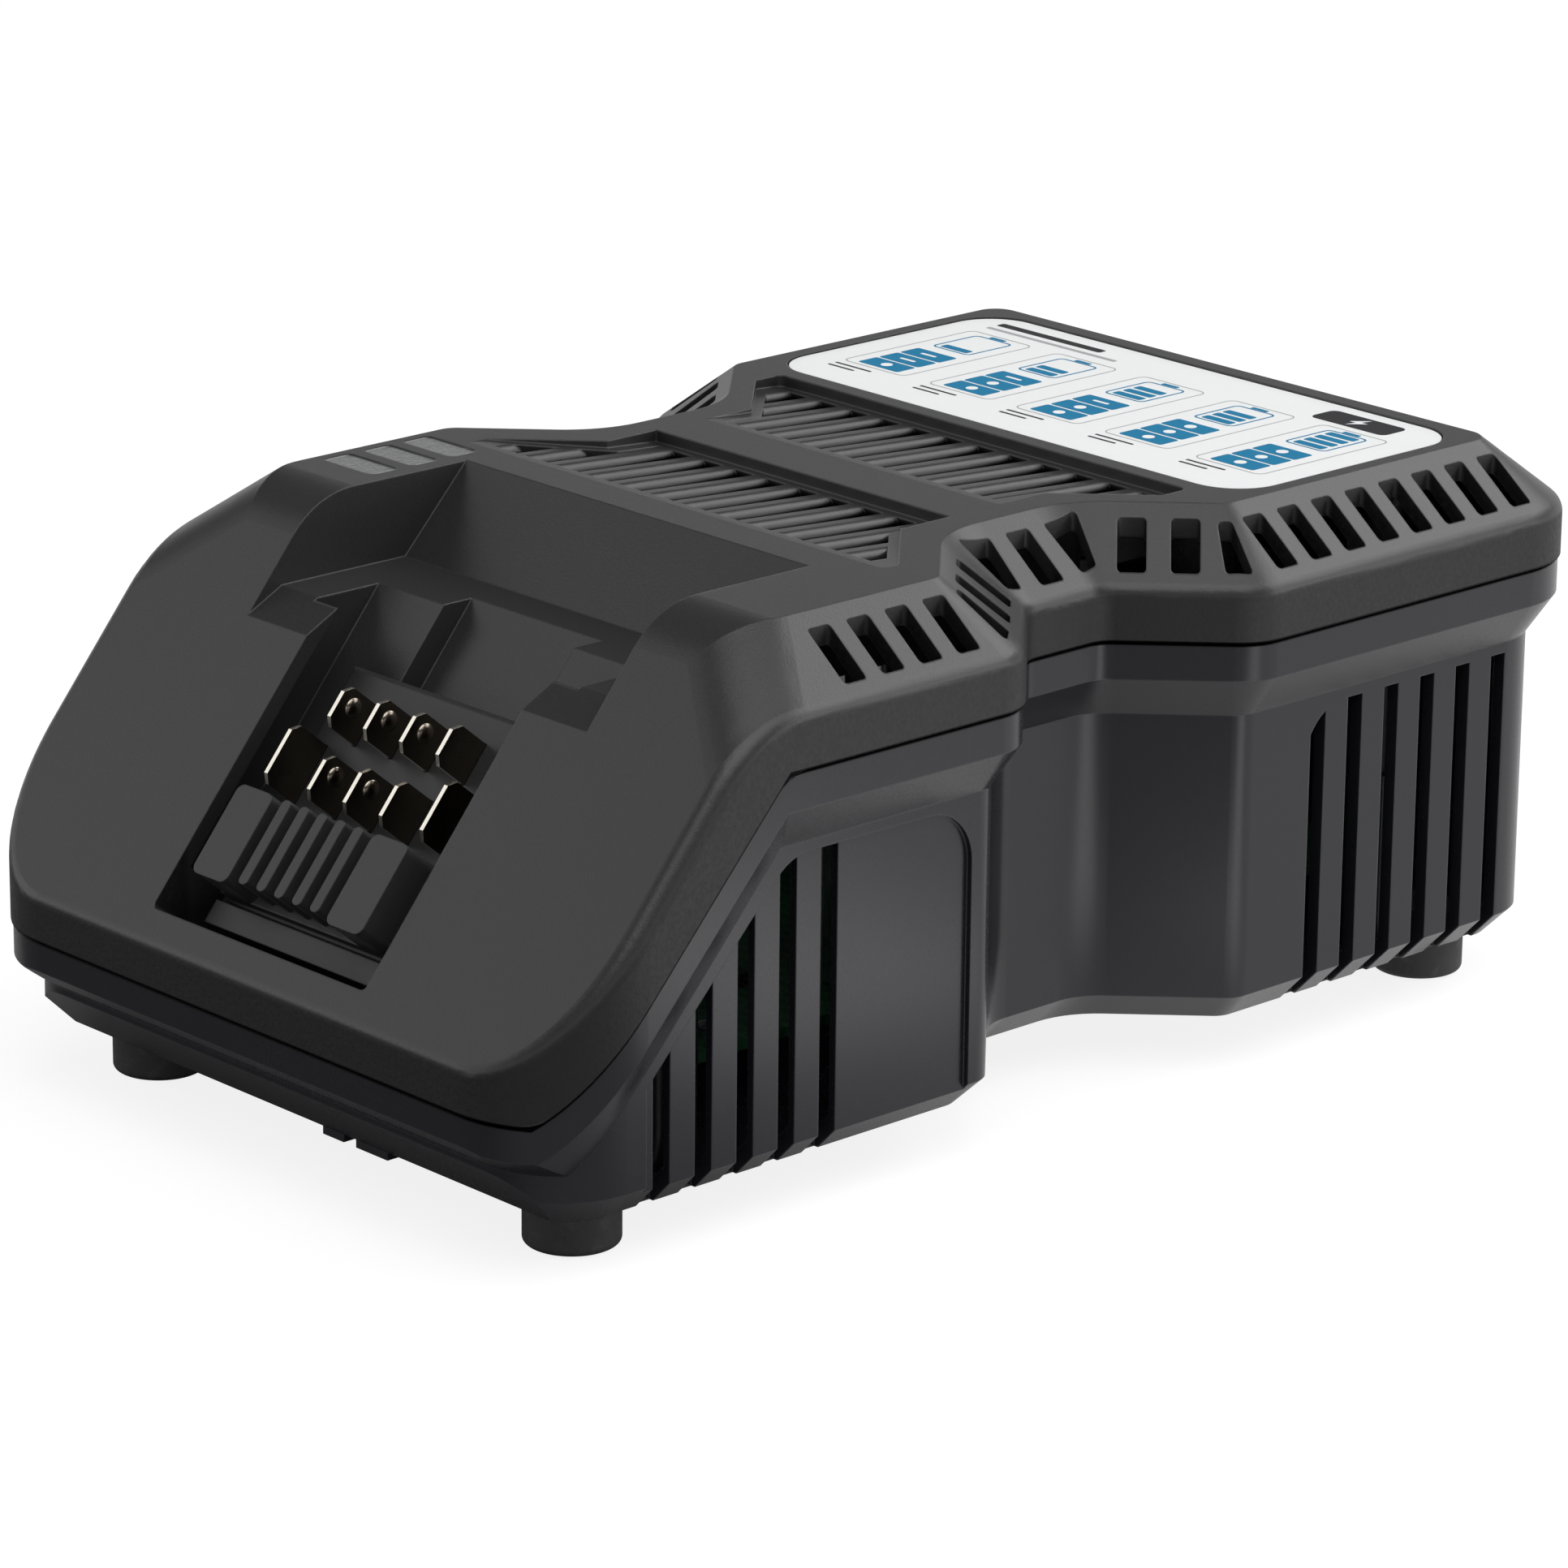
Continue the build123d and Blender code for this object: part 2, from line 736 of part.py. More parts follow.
for n in range(window_count):
    window_y = window_front_y + n * window_pitch
    with BuildPart() as light_window:
        with BuildSketch(Plane.XY.offset(deck_z - window_sink - window_depth)):
            with Locations((window_x, window_y)):
                RectangleRounded(window_length, window_width, window_r)
        extrude(amount=window_depth)
        with BuildSketch(Plane.XY.offset(deck_under_z)):
            with Locations((window_x, window_y)):
                Rectangle(window_length - 2 * window_r, window_width + 2 * window_lip)
        extrude(amount=-window_lip)
    light_window.part.label = f"light_window_{n + 1}"
    export_step(light_window.part, f"parts/light_window_{n + 1}.step")


# ================================================================== lower shell
def side_slots(centres, panel, radii):
    """Upright slots through both side walls, kept inside the outline of a panel."""
    with BuildPart() as cuts:
        with BuildSketch(Plane.YZ.offset(half_width - slot_inset)):
            for y in centres:
                with Locations((y, base_z + slot_top_z / 2)):
                    Rectangle(slot_width, slot_top_z + 2 * overcut)
            with BuildLine():
                FilletPolyline(*panel, radius=radii, close=True)
            make_face(mode=Mode.INTERSECT)
        extrude(amount=slot_inset)
        mirror(about=Plane.YZ)
    return cuts.part


panel_foot_z = base_z - overcut
panel_side = [
    (panel_back_y, panel_foot_z),
    (panel_back_y, slot_top_z),
    (slot_fall_y, slot_top_z),
    (panel_low_y, panel_low_z),
    (panel_low_y, panel_foot_z),
]
rear_panel_front_y = 2 * waist_mid_y - panel_back_y + rear_panel_shift
rear_panel_side = [
    (rear_panel_front_y, panel_foot_z),
    (rear_panel_front_y, slot_top_z),
    (back_y, slot_top_z),
    (back_y, panel_foot_z),
]
rear_wall_y = back_y - side_inset
gland_plane = Plane(origin=(gland_x, rear_wall_y, gland_z), z_dir=(0, 1, 0))
feet = [(x, y) for x in (-foot_x, foot_x) for y in foot_ys]
board_posts = [(x, y) for x in (-board_post_x, board_post_x) for y in board_post_ys]

with BuildPart() as tongue:
    extrude(plan(base_z, shell_wall + fit_clearance), amount=deck_z - base_z)
    extrude(seam_side(tongue_rise, -deck_z), amount=half_width, both=True, mode=Mode.INTERSECT)
with BuildPart() as tongue_base:
    extrude(plan(base_z, shell_wall), amount=deck_z - base_z)
    add(tongue.part)
    extrude(seam_side(-seam_gap / 2, -deck_z), amount=half_width, both=True, mode=Mode.INTERSECT)
    add(tongue.part)
    extrude(seam_side(-tongue_root, deck_z), amount=half_width, both=True, mode=Mode.INTERSECT)
    hollow = plan(base_z, shell_wall + fit_clearance + tongue_wall)
    extrude(hollow, amount=deck_z - base_z, mode=Mode.SUBTRACT)

with BuildPart() as lower_shell:
    add(lower_envelope(0))
    add(lower_envelope(lower_wall), mode=Mode.SUBTRACT)
    below = seam_side(-seam_gap / 2, -deck_z)
    extrude(below, amount=half_width + 1, both=True, mode=Mode.INTERSECT)
    add(tongue_base.part)
    # posts and pegs
    with BuildSketch(Plane.XY.offset(floor_z - 0.4)):
        with Locations(*posts):
            Circle(lower_post_r)
    extrude(amount=post_meet_z - post_gap / 2 - floor_z + 0.4)
    with BuildSketch(Plane.XY.offset(floor_z - 0.4)):
        with Locations(*board_posts):
            Circle(board_post_r)
    extrude(amount=board_z - floor_z + 0.4)
    for x, width in pegs:
        with BuildSketch(Plane.XY.offset(base_z - peg_drop)):
            with Locations((x, peg_y)):
                Rectangle(width, peg_depth)
        extrude(amount=peg_drop + 0.4)
    # side panels and slots
    panel_radii = [0, panel_corner_r, panel_corner_r, 0, 0]
    for side in (1, -1):
        face = Plane.YZ.offset(side * (half_width - side_inset - panel_depth))
        extrude(outline(face, panel_side, panel_radii), amount=side * overcut, mode=Mode.SUBTRACT)
    front_centres = [front_slot_y - n * front_slot_pitch for n in range(front_slots)]
    add(side_slots(front_centres, panel_side, panel_radii), mode=Mode.SUBTRACT)
    rear_centres = [rear_slot_y - n * rear_slot_pitch for n in range(rear_slots)]
    add(side_slots(rear_centres, rear_panel_side, [0, panel_corner_r, 0, 0]), mode=Mode.SUBTRACT)
    # holes for the screws, the feet, the board screws and the gland
    with BuildSketch(Plane.XY.offset(base_z - 1)):
        with Locations(*posts):
            Circle(screw_head_r + fit_clearance)
    extrude(amount=screw_seat_z - base_z + 1, mode=Mode.SUBTRACT)
    with BuildSketch(Plane.XY.offset(base_z)):
        with Locations(*posts):
            Circle(screw_r + screw_fit)
    extrude(amount=post_meet_z, mode=Mode.SUBTRACT)
    with BuildSketch(Plane.XY.offset(base_z - 1)):
        with Locations(*feet):
            Circle(foot_stem_r + foot_fit)
    extrude(amount=lower_wall + 2, mode=Mode.SUBTRACT)
    with BuildSketch(Plane.XY.offset(board_top_z - board_screw_length - 0.5)):
        with Locations(*board_posts):
            Circle(board_screw_r + screw_fit)
    extrude(amount=board_screw_length, mode=Mode.SUBTRACT)
    with BuildSketch(gland_plane):
        Circle(gland_barrel_r + gland_fit)
    extrude(amount=-2 * lower_wall, mode=Mode.SUBTRACT)
lower_shell.part.label = "lower_shell"
export_step(lower_shell.part, "parts/lower_shell.step")

for number, (x, y) in enumerate(feet, 1):
    with BuildPart() as rubber_foot:
        with BuildSketch():
            with Locations((x, y)):
                Circle(foot_r)
        extrude(amount=base_z)
        fillet(rubber_foot.edges().sort_by(Axis.Z)[0], radius=foot_edge_r)
        with BuildSketch(Plane.XY.offset(base_z)):
            with Locations((x, y)):
                Circle(foot_stem_r)
        extrude(amount=foot_stem_rise)
        with BuildSketch(Plane.XY.offset(floor_z)):
            with Locations((x, y)):
                Circle(foot_stem_r + foot_rim)
        extrude(amount=foot_stem_rise - lower_wall)
    rubber_foot.part.label = f"rubber_foot_{number}"
    export_step(rubber_foot.part, f"parts/rubber_foot_{number}.step")

with BuildPart() as case_screws:
    case_screw = screw(screw_head_r, screw_head_height, screw_r, screw_length)
    for x, y in posts:
        add(case_screw.moved(Location((x, y, screw_seat_z))))
case_screws.part.label = "case_screws"
export_step(case_screws.part, "parts/case_screws.step")

with BuildPart() as mains_gland:
    with BuildSketch(gland_plane):
        Circle(gland_flange_r)
    extrude(amount=gland_flange)
    fillet(mains_gland.edges().sort_by(Axis.Y)[-1], radius=gland_flange / 3)
    with BuildSketch(gland_plane):
        Circle(gland_barrel_r)
    extrude(amount=-lower_wall - gland_inside)
    with BuildSketch(gland_plane.offset(gland_flange + 1)):
        Circle(gland_bore_r)
    extrude(amount=-gland_flange - lower_wall - gland_inside - 2, mode=Mode.SUBTRACT)
mains_gland.part.label = "mains_gland"
export_step(mains_gland.part, "parts/mains_gland.step")

with BuildPart() as gland_nut:
    with BuildSketch(gland_plane.offset(-lower_wall)):
        RegularPolygon(gland_nut_r, 6)
        Circle(gland_barrel_r + fit_clearance, mode=Mode.SUBTRACT)
    extrude(amount=-gland_nut_height)
gland_nut.part.label = "gland_nut"
export_step(gland_nut.part, "parts/gland_nut.step")

# ================================================================== contacts
blade_sets = {
    "signal": ([n * blade_pitch for n in (-1, 0, 1)], signal_span, signal_tip),
    "rear": ([n * blade_pitch for n in (-1.5, -0.5, 0.5, 1.5)], rear_span, rear_tip),
    "power": ([-power_x, power_x], power_span, power_tip),
}
block_high = well_top - block_gap
contact_board_top = flange_under - contact_board_drop
contact_board_under = contact_board_top - board_thickness
pin_share = 0.3


def pin_span(span):
    """The stretch of a blade's span that its solder pin takes."""
    middle = (span[0] + span[1]) / 2
    reach = pin_share * (span[1] - span[0]) / 2
    return middle - reach, middle + reach


with BuildPart() as terminal_block:
    add(ramp_block(block_half, (block_low, block_high), block_top, flange_under))
    fillet(terminal_block.edges().group_by(Axis(ramp_face.origin, ramp_face.z_dir))[-1], block_round)
    add(ramp_block(guide_half, (ledge_low, block_low), ledge_top, flange_under))
    add(ramp_block(flange_half, (flange_low, flange_high), flange_top, flange_under, 2.0))
    for span in ((contact_board_span[0], block_low + 1), (block_high - 1, contact_board_span[1])):
        add(ramp_block(contact_board_half - 2, span, flange_under, contact_board_top))
    for xs, span, tip in blade_sets.values():
        slot = (span[0] - blade_fit, span[1] + blade_fit)
        for x in xs:
            hole = ramp_block(blade_thickness / 2 + blade_fit, slot, 1, flange_under - 1)
            add(hole.moved(Location((x, 0, 0))), mode=Mode.SUBTRACT)
    with BuildSketch(ramp_face.offset(flange_top + 1)):
        with Locations(*dock_screws):
            Circle(board_screw_r + screw_fit)
    extrude(amount=-flange_height - 2, mode=Mode.SUBTRACT)
terminal_block.part.label = "terminal_block"
export_step(terminal_block.part, "parts/terminal_block.step")

with BuildPart() as contact_comb:
    add(ramp_block(guide_half, (guide_low, guide_high), guide_floor, block_top))
    pad_half = (guide_half - guide_pad_inner) / 2
    pad = ramp_block(pad_half, (guide_low, guide_high), guide_rise, block_top, guide_pad_r)
    for side in (-1, 1):
        add(pad.moved(Location((side * (guide_half - pad_half), 0, 0))))
    rib_half = guide_rib_width / 2
    rib_span = (guide_rib_low, guide_high)
    rib = ramp_block(rib_half, rib_span, guide_rise, block_top, 0.9 * rib_half)
    for n in range(guide_ribs):
        x = (n - (guide_ribs - 1) / 2) * guide_rib_pitch
        add(rib.moved(Location((x, 0, 0))))
contact_comb.part.label = "contact_comb"
export_step(contact_comb.part, "parts/contact_comb.step")

for kind, (xs, span, tip) in blade_sets.items():
    pin = pin_span(span)
    profile = [
        (span[0], flange_under),
        (pin[0], flange_under),
        (pin[0], blade_root),
        (pin[1], blade_root),
        (pin[1], flange_under),
        (span[1], flange_under),
        (span[1], tip - blade_bevel),
        (span[1] - blade_bevel, tip),
        (span[0] + blade_bevel, tip),
        (span[0], tip - blade_bevel),
    ]
    for number, x in enumerate(xs, 1):
        with BuildPart() as blade:
            extrude(ramp_section(x, profile), amount=blade_thickness / 2, both=True)
        blade.part.label = f"{kind}_blade_{number}"
        export_step(blade.part, f"parts/{kind}_blade_{number}.step")

with BuildPart() as contact_board:
    reach = contact_board_half
    add(ramp_block(reach, contact_board_span, contact_board_top, contact_board_under, 1.0))
    for xs, span, tip in blade_sets.values():
        pin = pin_span(span)
        slot = (pin[0] - blade_fit, pin[1] + blade_fit)
        for x in xs:
            hole = ramp_block(blade_thickness / 2 + blade_fit, slot, 0, contact_board_under - 1)
            add(hole.moved(Location((x, 0, 0))), mode=Mode.SUBTRACT)
contact_board.part.label = "contact_board"
export_step(contact_board.part, "parts/contact_board.step")

# ================================================================== boards and lights
with BuildPart() as light_board:
    with BuildSketch(Plane.XY.offset(light_board_z)):
        with Locations((light_x, (light_board_ys[0] + light_board_ys[1]) / 2)):
            RectangleRounded(
                2 * light_board_half, light_board_ys[1] - light_board_ys[0], 1.0
            )
        with Locations(*[(light_x, y) for y in light_post_ys]):
            Circle(board_screw_r + screw_fit, mode=Mode.SUBTRACT)
    extrude(amount=board_thickness)
light_board.part.label = "light_board"
export_step(light_board.part, "parts/light_board.step")

with BuildPart() as indicator_lights:
    with BuildSketch(Plane.XY.offset(light_board_top_z)):
        for n in range(window_count):
            with Locations((window_x, window_front_y + n * window_pitch)):
                Rectangle(light_width, light_length)
    extrude(amount=light_height)
    chamfer(indicator_lights.faces().filter_by(Axis.Z).group_by(Axis.Z)[-1].edges(), length=0.6)
indicator_lights.part.label = "indicator_lights"
export_step(indicator_lights.part, "parts/indicator_lights.step")

with BuildPart() as main_board:
    with BuildSketch(Plane.XY.offset(board_z)):
        with Locations((0, (board_front_y + board_back_y) / 2)):
            RectangleRounded(2 * board_half, board_back_y - board_front_y, board_corner_r)
        with Locations(*board_posts):
            Circle(board_screw_r + screw_fit, mode=Mode.SUBTRACT)
    extrude(amount=board_thickness)
main_board.part.label = "main_board"
export_step(main_board.part, "parts/main_board.step")

with BuildPart() as board_screws:
    board_screw = screw(board_head_r, board_head_height, board_screw_r, board_screw_length)
    for x, y in board_posts:
        add(board_screw.moved(Location((x, y, board_top_z), (180, 0, 0))))
    for y in light_post_ys:
        add(board_screw.moved(Location((light_x, y, light_board_z))))
    for x, v in dock_screws:
        seat = ramp_face * Location((x, v, flange_under))
        add(board_screw.moved(seat))
board_screws.part.label = "board_screws"
export_step(board_screws.part, "parts/board_screws.step")

# ================================================================== cooling fan
fan_low_z = fan_top_z - fan_height
fan_plane = Plane.XY.offset(fan_low_z)
fan_centre = (0, fan_y)
cup_low_z = fan_low_z + strut_height + fan_hub_gap
cup_top_z = fan_top_z - fan_hub_gap
bearing_top_z = cup_top_z - fan_hub_wall - fan_hub_gap

with BuildPart() as fan_frame:
    with BuildSketch(fan_plane):
        with Locations(fan_centre):
            RectangleRounded(fan_size, fan_size, fan_corner_r)
            Circle(fan_bore_r, mode=Mode.SUBTRACT)
        with Locations(*fan_holes):
            Circle(fan_screw_r + screw_fit, mode=Mode.SUBTRACT)
    extrude(amount=fan_height)
    with BuildSketch(fan_plane):
        with Locations(fan_centre):
            Circle(fan_hub_r)
            with PolarLocations(fan_bore_r / 2, struts, start_angle=45):
                Rectangle(fan_bore_r + 1, strut_width)
    extrude(amount=strut_height)
    with BuildSketch(fan_plane):
        with Locations(fan_centre):
            Circle(bearing_r)
    extrude(amount=bearing_top_z - fan_low_z)
    with BuildSketch(fan_plane.offset(-1)):
        with Locations(fan_centre):
            Circle(shaft_r + shaft_running)
    extrude(amount=fan_height, mode=Mode.SUBTRACT)
fan_frame.part.label = "fan_frame"
export_step(fan_frame.part, "parts/fan_frame.step")

with BuildPart() as fan_stator:
    with BuildSketch(fan_plane.offset(strut_height)):
        with Locations(fan_centre):
            Circle(fan_hub_r - fan_hub_wall - fan_hub_gap)
            Circle(bearing_r + fit_clearance, mode=Mode.SUBTRACT)
            with PolarLocations(fan_hub_r - fan_hub_wall - pole_gap_depth / 2, struts):
                Rectangle(pole_gap_depth, pole_gap, mode=Mode.SUBTRACT)
    extrude(amount=bearing_top_z - fan_low_z - strut_height - fan_hub_gap)
fan_stator.part.label = "fan_stator"
export_step(fan_stator.part, "parts/fan_stator.step")

with BuildPart() as fan_rotor:
    with BuildSketch(Plane.XY.offset(cup_low_z)):
        with Locations(fan_centre):
            Circle(fan_hub_r)
    extrude(amount=cup_top_z - cup_low_z)
    fillet(fan_rotor.edges().sort_by(Axis.Z)[-1], radius=1.2)
    blade_middle_z = (cup_low_z + cup_top_z) / 2
    for n in range(fan_blades):
        turn = n * 360 / fan_blades
        root = Plane(
            origin=(
                (fan_hub_r - 1) * cos(radians(turn)),
                fan_y + (fan_hub_r - 1) * sin(radians(turn)),
                blade_middle_z,
            ),
            x_dir=(-sin(radians(turn)), cos(radians(turn)), 0),
            z_dir=(cos(radians(turn)), sin(radians(turn)), 0),
        )
        with BuildSketch(root):
            Rectangle(fan_blade_chord, fan_blade_thickness, rotation=fan_blade_angle)
        extrude(amount=fan_bore_r)
    with BuildSketch(Plane.XY.offset(cup_low_z - 1)):
        with Locations(fan_centre):
            Circle(fan_bore_r - fan_tip_gap)
    extrude(amount=fan_height + 2, mode=Mode.INTERSECT)
    with BuildSketch(Plane.XY.offset(cup_low_z - 1)):
        with Locations(fan_centre):
            Circle(fan_hub_r - fan_hub_wall)
    extrude(amount=cup_top_z - fan_hub_wall - cup_low_z + 1, mode=Mode.SUBTRACT)
    with BuildSketch(Plane.XY.offset(fan_low_z - shaft_running - clip_height)):
        with Locations(fan_centre):
            Circle(clip_r)
    extrude(amount=clip_height)
    with BuildSketch(Plane.XY.offset(fan_low_z - 2 * shaft_running - clip_height)):
        with Locations(fan_centre):
            Circle(shaft_r)
    extrude(amount=cup_top_z - fan_low_z)
fan_rotor.part.label = "fan_rotor"
export_step(fan_rotor.part, "parts/fan_rotor.step")

with BuildPart() as fan_screws:
    fan_screw = screw(fan_head_r, fan_head_height, fan_screw_r, fan_screw_length)
    for x, y in fan_holes:
        add(fan_screw.moved(Location((x, y, fan_low_z))))
fan_screws.part.label = "fan_screws"
export_step(fan_screws.part, "parts/fan_screws.step")

# ================================================================== power parts on the main board
with BuildPart() as transformer_core:
    width, depth, height = core_size
    with BuildSketch(Plane.XZ.offset(-core_y)):
        with Locations((0, board_top_z + height / 2)):
            Rectangle(width, height)
        window = (width - core_post) / 2 - core_leg
        shift = (core_post + window) / 2
        with Locations(*[(x, board_top_z + height / 2) for x in (-shift, shift)]):
            Rectangle(window, height - 2 * core_leg, mode=Mode.SUBTRACT)
    extrude(amount=depth / 2, both=True)
transformer_core.part.label = "transformer_core"
export_step(transformer_core.part, "parts/transformer_core.step")

with BuildPart() as transformer_coil:
    with BuildSketch(Plane.XY.offset(board_top_z + core_leg + coil_gap)):
        with Locations((0, core_y)):
            RectangleRounded(*coil_size, coil_corner_r)
            Rectangle(core_post + 2 * coil_gap, core_size[1] + 2 * coil_gap, mode=Mode.SUBTRACT)
    extrude(amount=core_size[2] - 2 * core_leg - 2 * coil_gap)
transformer_coil.part.label = "transformer_coil"
export_step(transformer_coil.part, "parts/transformer_coil.step")

with BuildPart() as bulk_capacitor:
    with BuildSketch(Plane.XY.offset(board_top_z)):
        with Locations((bulk_x, bulk_y)):
            Circle(bulk_r)
    extrude(amount=bulk_height)
    fillet(bulk_capacitor.edges().sort_by(Axis.Z)[-1], radius=0.8)
bulk_capacitor.part.label = "bulk_capacitor"
export_step(bulk_capacitor.part, "parts/bulk_capacitor.step")

with BuildPart() as output_capacitors:
    with BuildSketch(Plane.XY.offset(board_top_z)):
        with Locations(*[(x, output_y) for x in output_xs]):
            Circle(output_r)
    extrude(amount=output_height)
output_capacitors.part.label = "output_capacitors"
export_step(output_capacitors.part, "parts/output_capacitors.step")

with BuildPart() as choke_coil:
    with BuildSketch(Plane.XY.offset(board_top_z)):
        with Locations((choke_x, choke_y)):
            Circle(choke_r)
            Circle(choke_hole_r, mode=Mode.SUBTRACT)
            with PolarLocations((choke_r + choke_hole_r) / 2, choke_turns):
                Rectangle(choke_r - choke_hole_r + 1.2, 1.6)
    extrude(amount=choke_height)
choke_coil.part.label = "choke_coil"
export_step(choke_coil.part, "parts/choke_coil.step")

for side, name in ((-1, "heat_sink_left"), (1, "heat_sink_right")):
    with BuildPart() as heat_sink:
        with BuildSketch(Plane.XY.offset(board_top_z)):
            with Locations((side * (sink_x - sink_base / 2), sink_y)):
                Rectangle(sink_base, sink_length)
            with Locations((side * (sink_x + sink_depth / 2 - 0.1), sink_y)):
                with GridLocations(1, (sink_length - sink_fin) / (sink_fins - 1), 1, sink_fins):
                    Rectangle(sink_depth, sink_fin)
        extrude(amount=sink_height)
    heat_sink.part.label = name
    export_step(heat_sink.part, f"parts/{name}.step")

with BuildPart() as power_transistors:
    for side in (-1, 1):
        inner_x = sink_x - sink_base
        for n in range(chips):
            y = sink_y + (n - (chips - 1) / 2) * chip_pitch
            with BuildSketch(Plane.XY.offset(board_top_z + chip_foot)):
                with Locations((side * (inner_x - chip_depth / 2), y)):
                    Rectangle(chip_depth, chip_width)
            extrude(amount=chip_height)
            with BuildSketch(Plane.XY.offset(board_top_z)):
                with Locations((side * (inner_x - chip_depth / 2), y)):
                    with GridLocations(1, chip_pin_pitch, 1, 3):
                        Rectangle(chip_pin, chip_pin)
            extrude(amount=chip_foot + 0.2)
power_transistors.part.label = "power_transistors"
export_step(power_transistors.part, "parts/power_transistors.step")

with BuildPart() as fuse:
    with BuildSketch(Plane.XZ.offset(-fuse_y)):
        with Locations((fuse_x, board_top_z + fuse_lift)):
            Circle(fuse_r)
    extrude(amount=fuse_length / 2, both=True)
fuse.part.label = "fuse"
export_step(fuse.part, "parts/fuse.step")

with BuildPart() as fuse_clips:
    for way in (-1, 1):
        y = fuse_y + way * (fuse_length / 2 - clip_width / 2)
        with BuildSketch(Plane.XZ.offset(-y)):
            with Locations((fuse_x, board_top_z + fuse_lift / 2)):
                Rectangle(2 * fuse_r + 2, fuse_lift)
            with Locations((fuse_x, board_top_z + fuse_lift)):
                Circle(fuse_r + fit_clearance, mode=Mode.SUBTRACT)
        extrude(amount=clip_width / 2, both=True)
fuse_clips.part.label = "fuse_clips"
export_step(fuse_clips.part, "parts/fuse_clips.step")

with BuildPart() as control_chip:
    with BuildSketch(Plane.XY.offset(board_top_z)):
        with Locations((control_x, control_y)):
            Rectangle(control_size, control_size)
            with GridLocations(control_pitch, control_pitch, control_pins, 1):
                Rectangle(control_pin, control_size + 2 * control_pin_length)
            with GridLocations(control_pitch, control_pitch, 1, control_pins):
                Rectangle(control_size + 2 * control_pin_length, control_pin)
    extrude(amount=control_pin)
    with BuildSketch(Plane.XY.offset(board_top_z)):
        with Locations((control_x, control_y)):
            Rectangle(control_size, control_size)
    extrude(amount=control_height)
control_chip.part.label = "control_chip"
export_step(control_chip.part, "parts/control_chip.step")
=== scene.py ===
"""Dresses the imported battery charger: finishes, printed status chart, contact details, stage."""

import math

import bmesh
import bpy
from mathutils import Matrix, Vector


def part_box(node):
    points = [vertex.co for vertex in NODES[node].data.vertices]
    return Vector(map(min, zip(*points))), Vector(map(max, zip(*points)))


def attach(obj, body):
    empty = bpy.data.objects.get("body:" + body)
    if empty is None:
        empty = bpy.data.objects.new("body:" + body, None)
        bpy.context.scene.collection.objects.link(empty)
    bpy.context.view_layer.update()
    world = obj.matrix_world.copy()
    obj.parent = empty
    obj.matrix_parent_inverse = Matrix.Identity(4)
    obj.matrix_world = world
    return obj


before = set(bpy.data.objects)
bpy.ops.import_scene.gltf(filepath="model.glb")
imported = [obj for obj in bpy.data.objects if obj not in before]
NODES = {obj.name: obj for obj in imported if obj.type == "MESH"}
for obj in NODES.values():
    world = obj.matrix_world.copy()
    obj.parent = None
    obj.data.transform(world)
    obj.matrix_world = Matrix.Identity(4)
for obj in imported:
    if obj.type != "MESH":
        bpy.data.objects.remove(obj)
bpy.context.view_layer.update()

bl_info = {
    "name": "Battery Charger Dressing",
    "version": (1, 0, 0),
    "blender": (4, 5, 0),
    "location": "3D View > Sidebar > Charger",
    "description": "Finishes and fine pieces for a desktop power tool battery charger",
    "category": "Object",
}

MM = 0.001
FULL_TURN = 2 * math.pi

# All lengths below are in millimetres, unless a comment says that they are in metres.

# The ramp that carries the dock: V runs up it, W stands out of it.
RAMP_ANGLE = math.radians(50.36)
RAMP_FOOT = Vector((0, -114.5, 33.4))
RAMP_V = Vector((0, math.cos(RAMP_ANGLE), math.sin(RAMP_ANGLE)))
RAMP_W = Vector((0, -math.sin(RAMP_ANGLE), math.cos(RAMP_ANGLE)))

# The bends of the parting line between the shells, as (y, z), and how wide its painted shade is.
SEAM_SIDE = Vector((-67.0, 73.1))
SEAM_NOSE = Vector((-110.2, 26.0))
SEAM_WIDTH = 0.6
# Painted shade: the near black of the parting line and the grilles' depths, as a slot shows almost
# nothing.
SHADE_BLACK = (0.002, 0.002, 0.002)
# Where the outer walls of the shells begin, from the middle.
OUTER_X = (47.0, 49.0)
OUTER_Y = (103.0, 105.0)
# The heights at which painted shade turns the ribs of the deck's grilles black, and at which they
# end.
RIB_FADE = (89.2, 90.5)
RIB_FOOT = (83.0, 85.0)
# The grilles' front and back ends, and their half width and middle at the waist of the case.
GRILLE_FRONT = (-30.5, -29.0)
GRILLE_BACK = (41.5, 43.0)
GRILLE_WAIST = Vector((39.0, 7.4))
GRILLE_WAIST_LENGTH = 24.0
GRILLE_FLARE = 0.5

# Sizes of the finer features of the finishes.
CLOUD_GRAIN = 38.0
EDGE_WIDTH = 0.5


# ------------------------------------------------------------------ shader maths
class Signal:
    """One output of a node. Sums, differences and products of signals add Math nodes."""

    def __init__(self, finish, socket):
        self.finish = finish
        self.socket = socket

    def maths(self, operation, *others):
        """This number joined to others by one Math node."""
        return self.finish.node(
            "ShaderNodeMath", {"operation": operation}, dict(enumerate((self, *others)))
        )

    def __add__(self, other):
        return self.maths("ADD", other)

    def __sub__(self, other):
        return self.maths("SUBTRACT", other)

    def __rsub__(self, other):
        return self.maths("MULTIPLY", -1) + other

    def __mul__(self, other):
        return self.maths("MULTIPLY", other)

    __radd__ = __add__
    __rmul__ = __mul__

    def unsigned(self):
        """This number without its sign."""
        return self.maths("ABSOLUTE")

    def between(self, low, high):
        """0 up to low, 1 from high on, and smooth on the way."""
        return self.finish.node(
            "ShaderNodeMapRange",
            {"interpolation_type": "SMOOTHSTEP"},
            {"Value": self, "From Min": low, "From Max": high},
        )

    def past(self, low, high):
        """The same for a length in metres, between two lengths in millimetres."""
        return self.between(low * MM, high * MM)


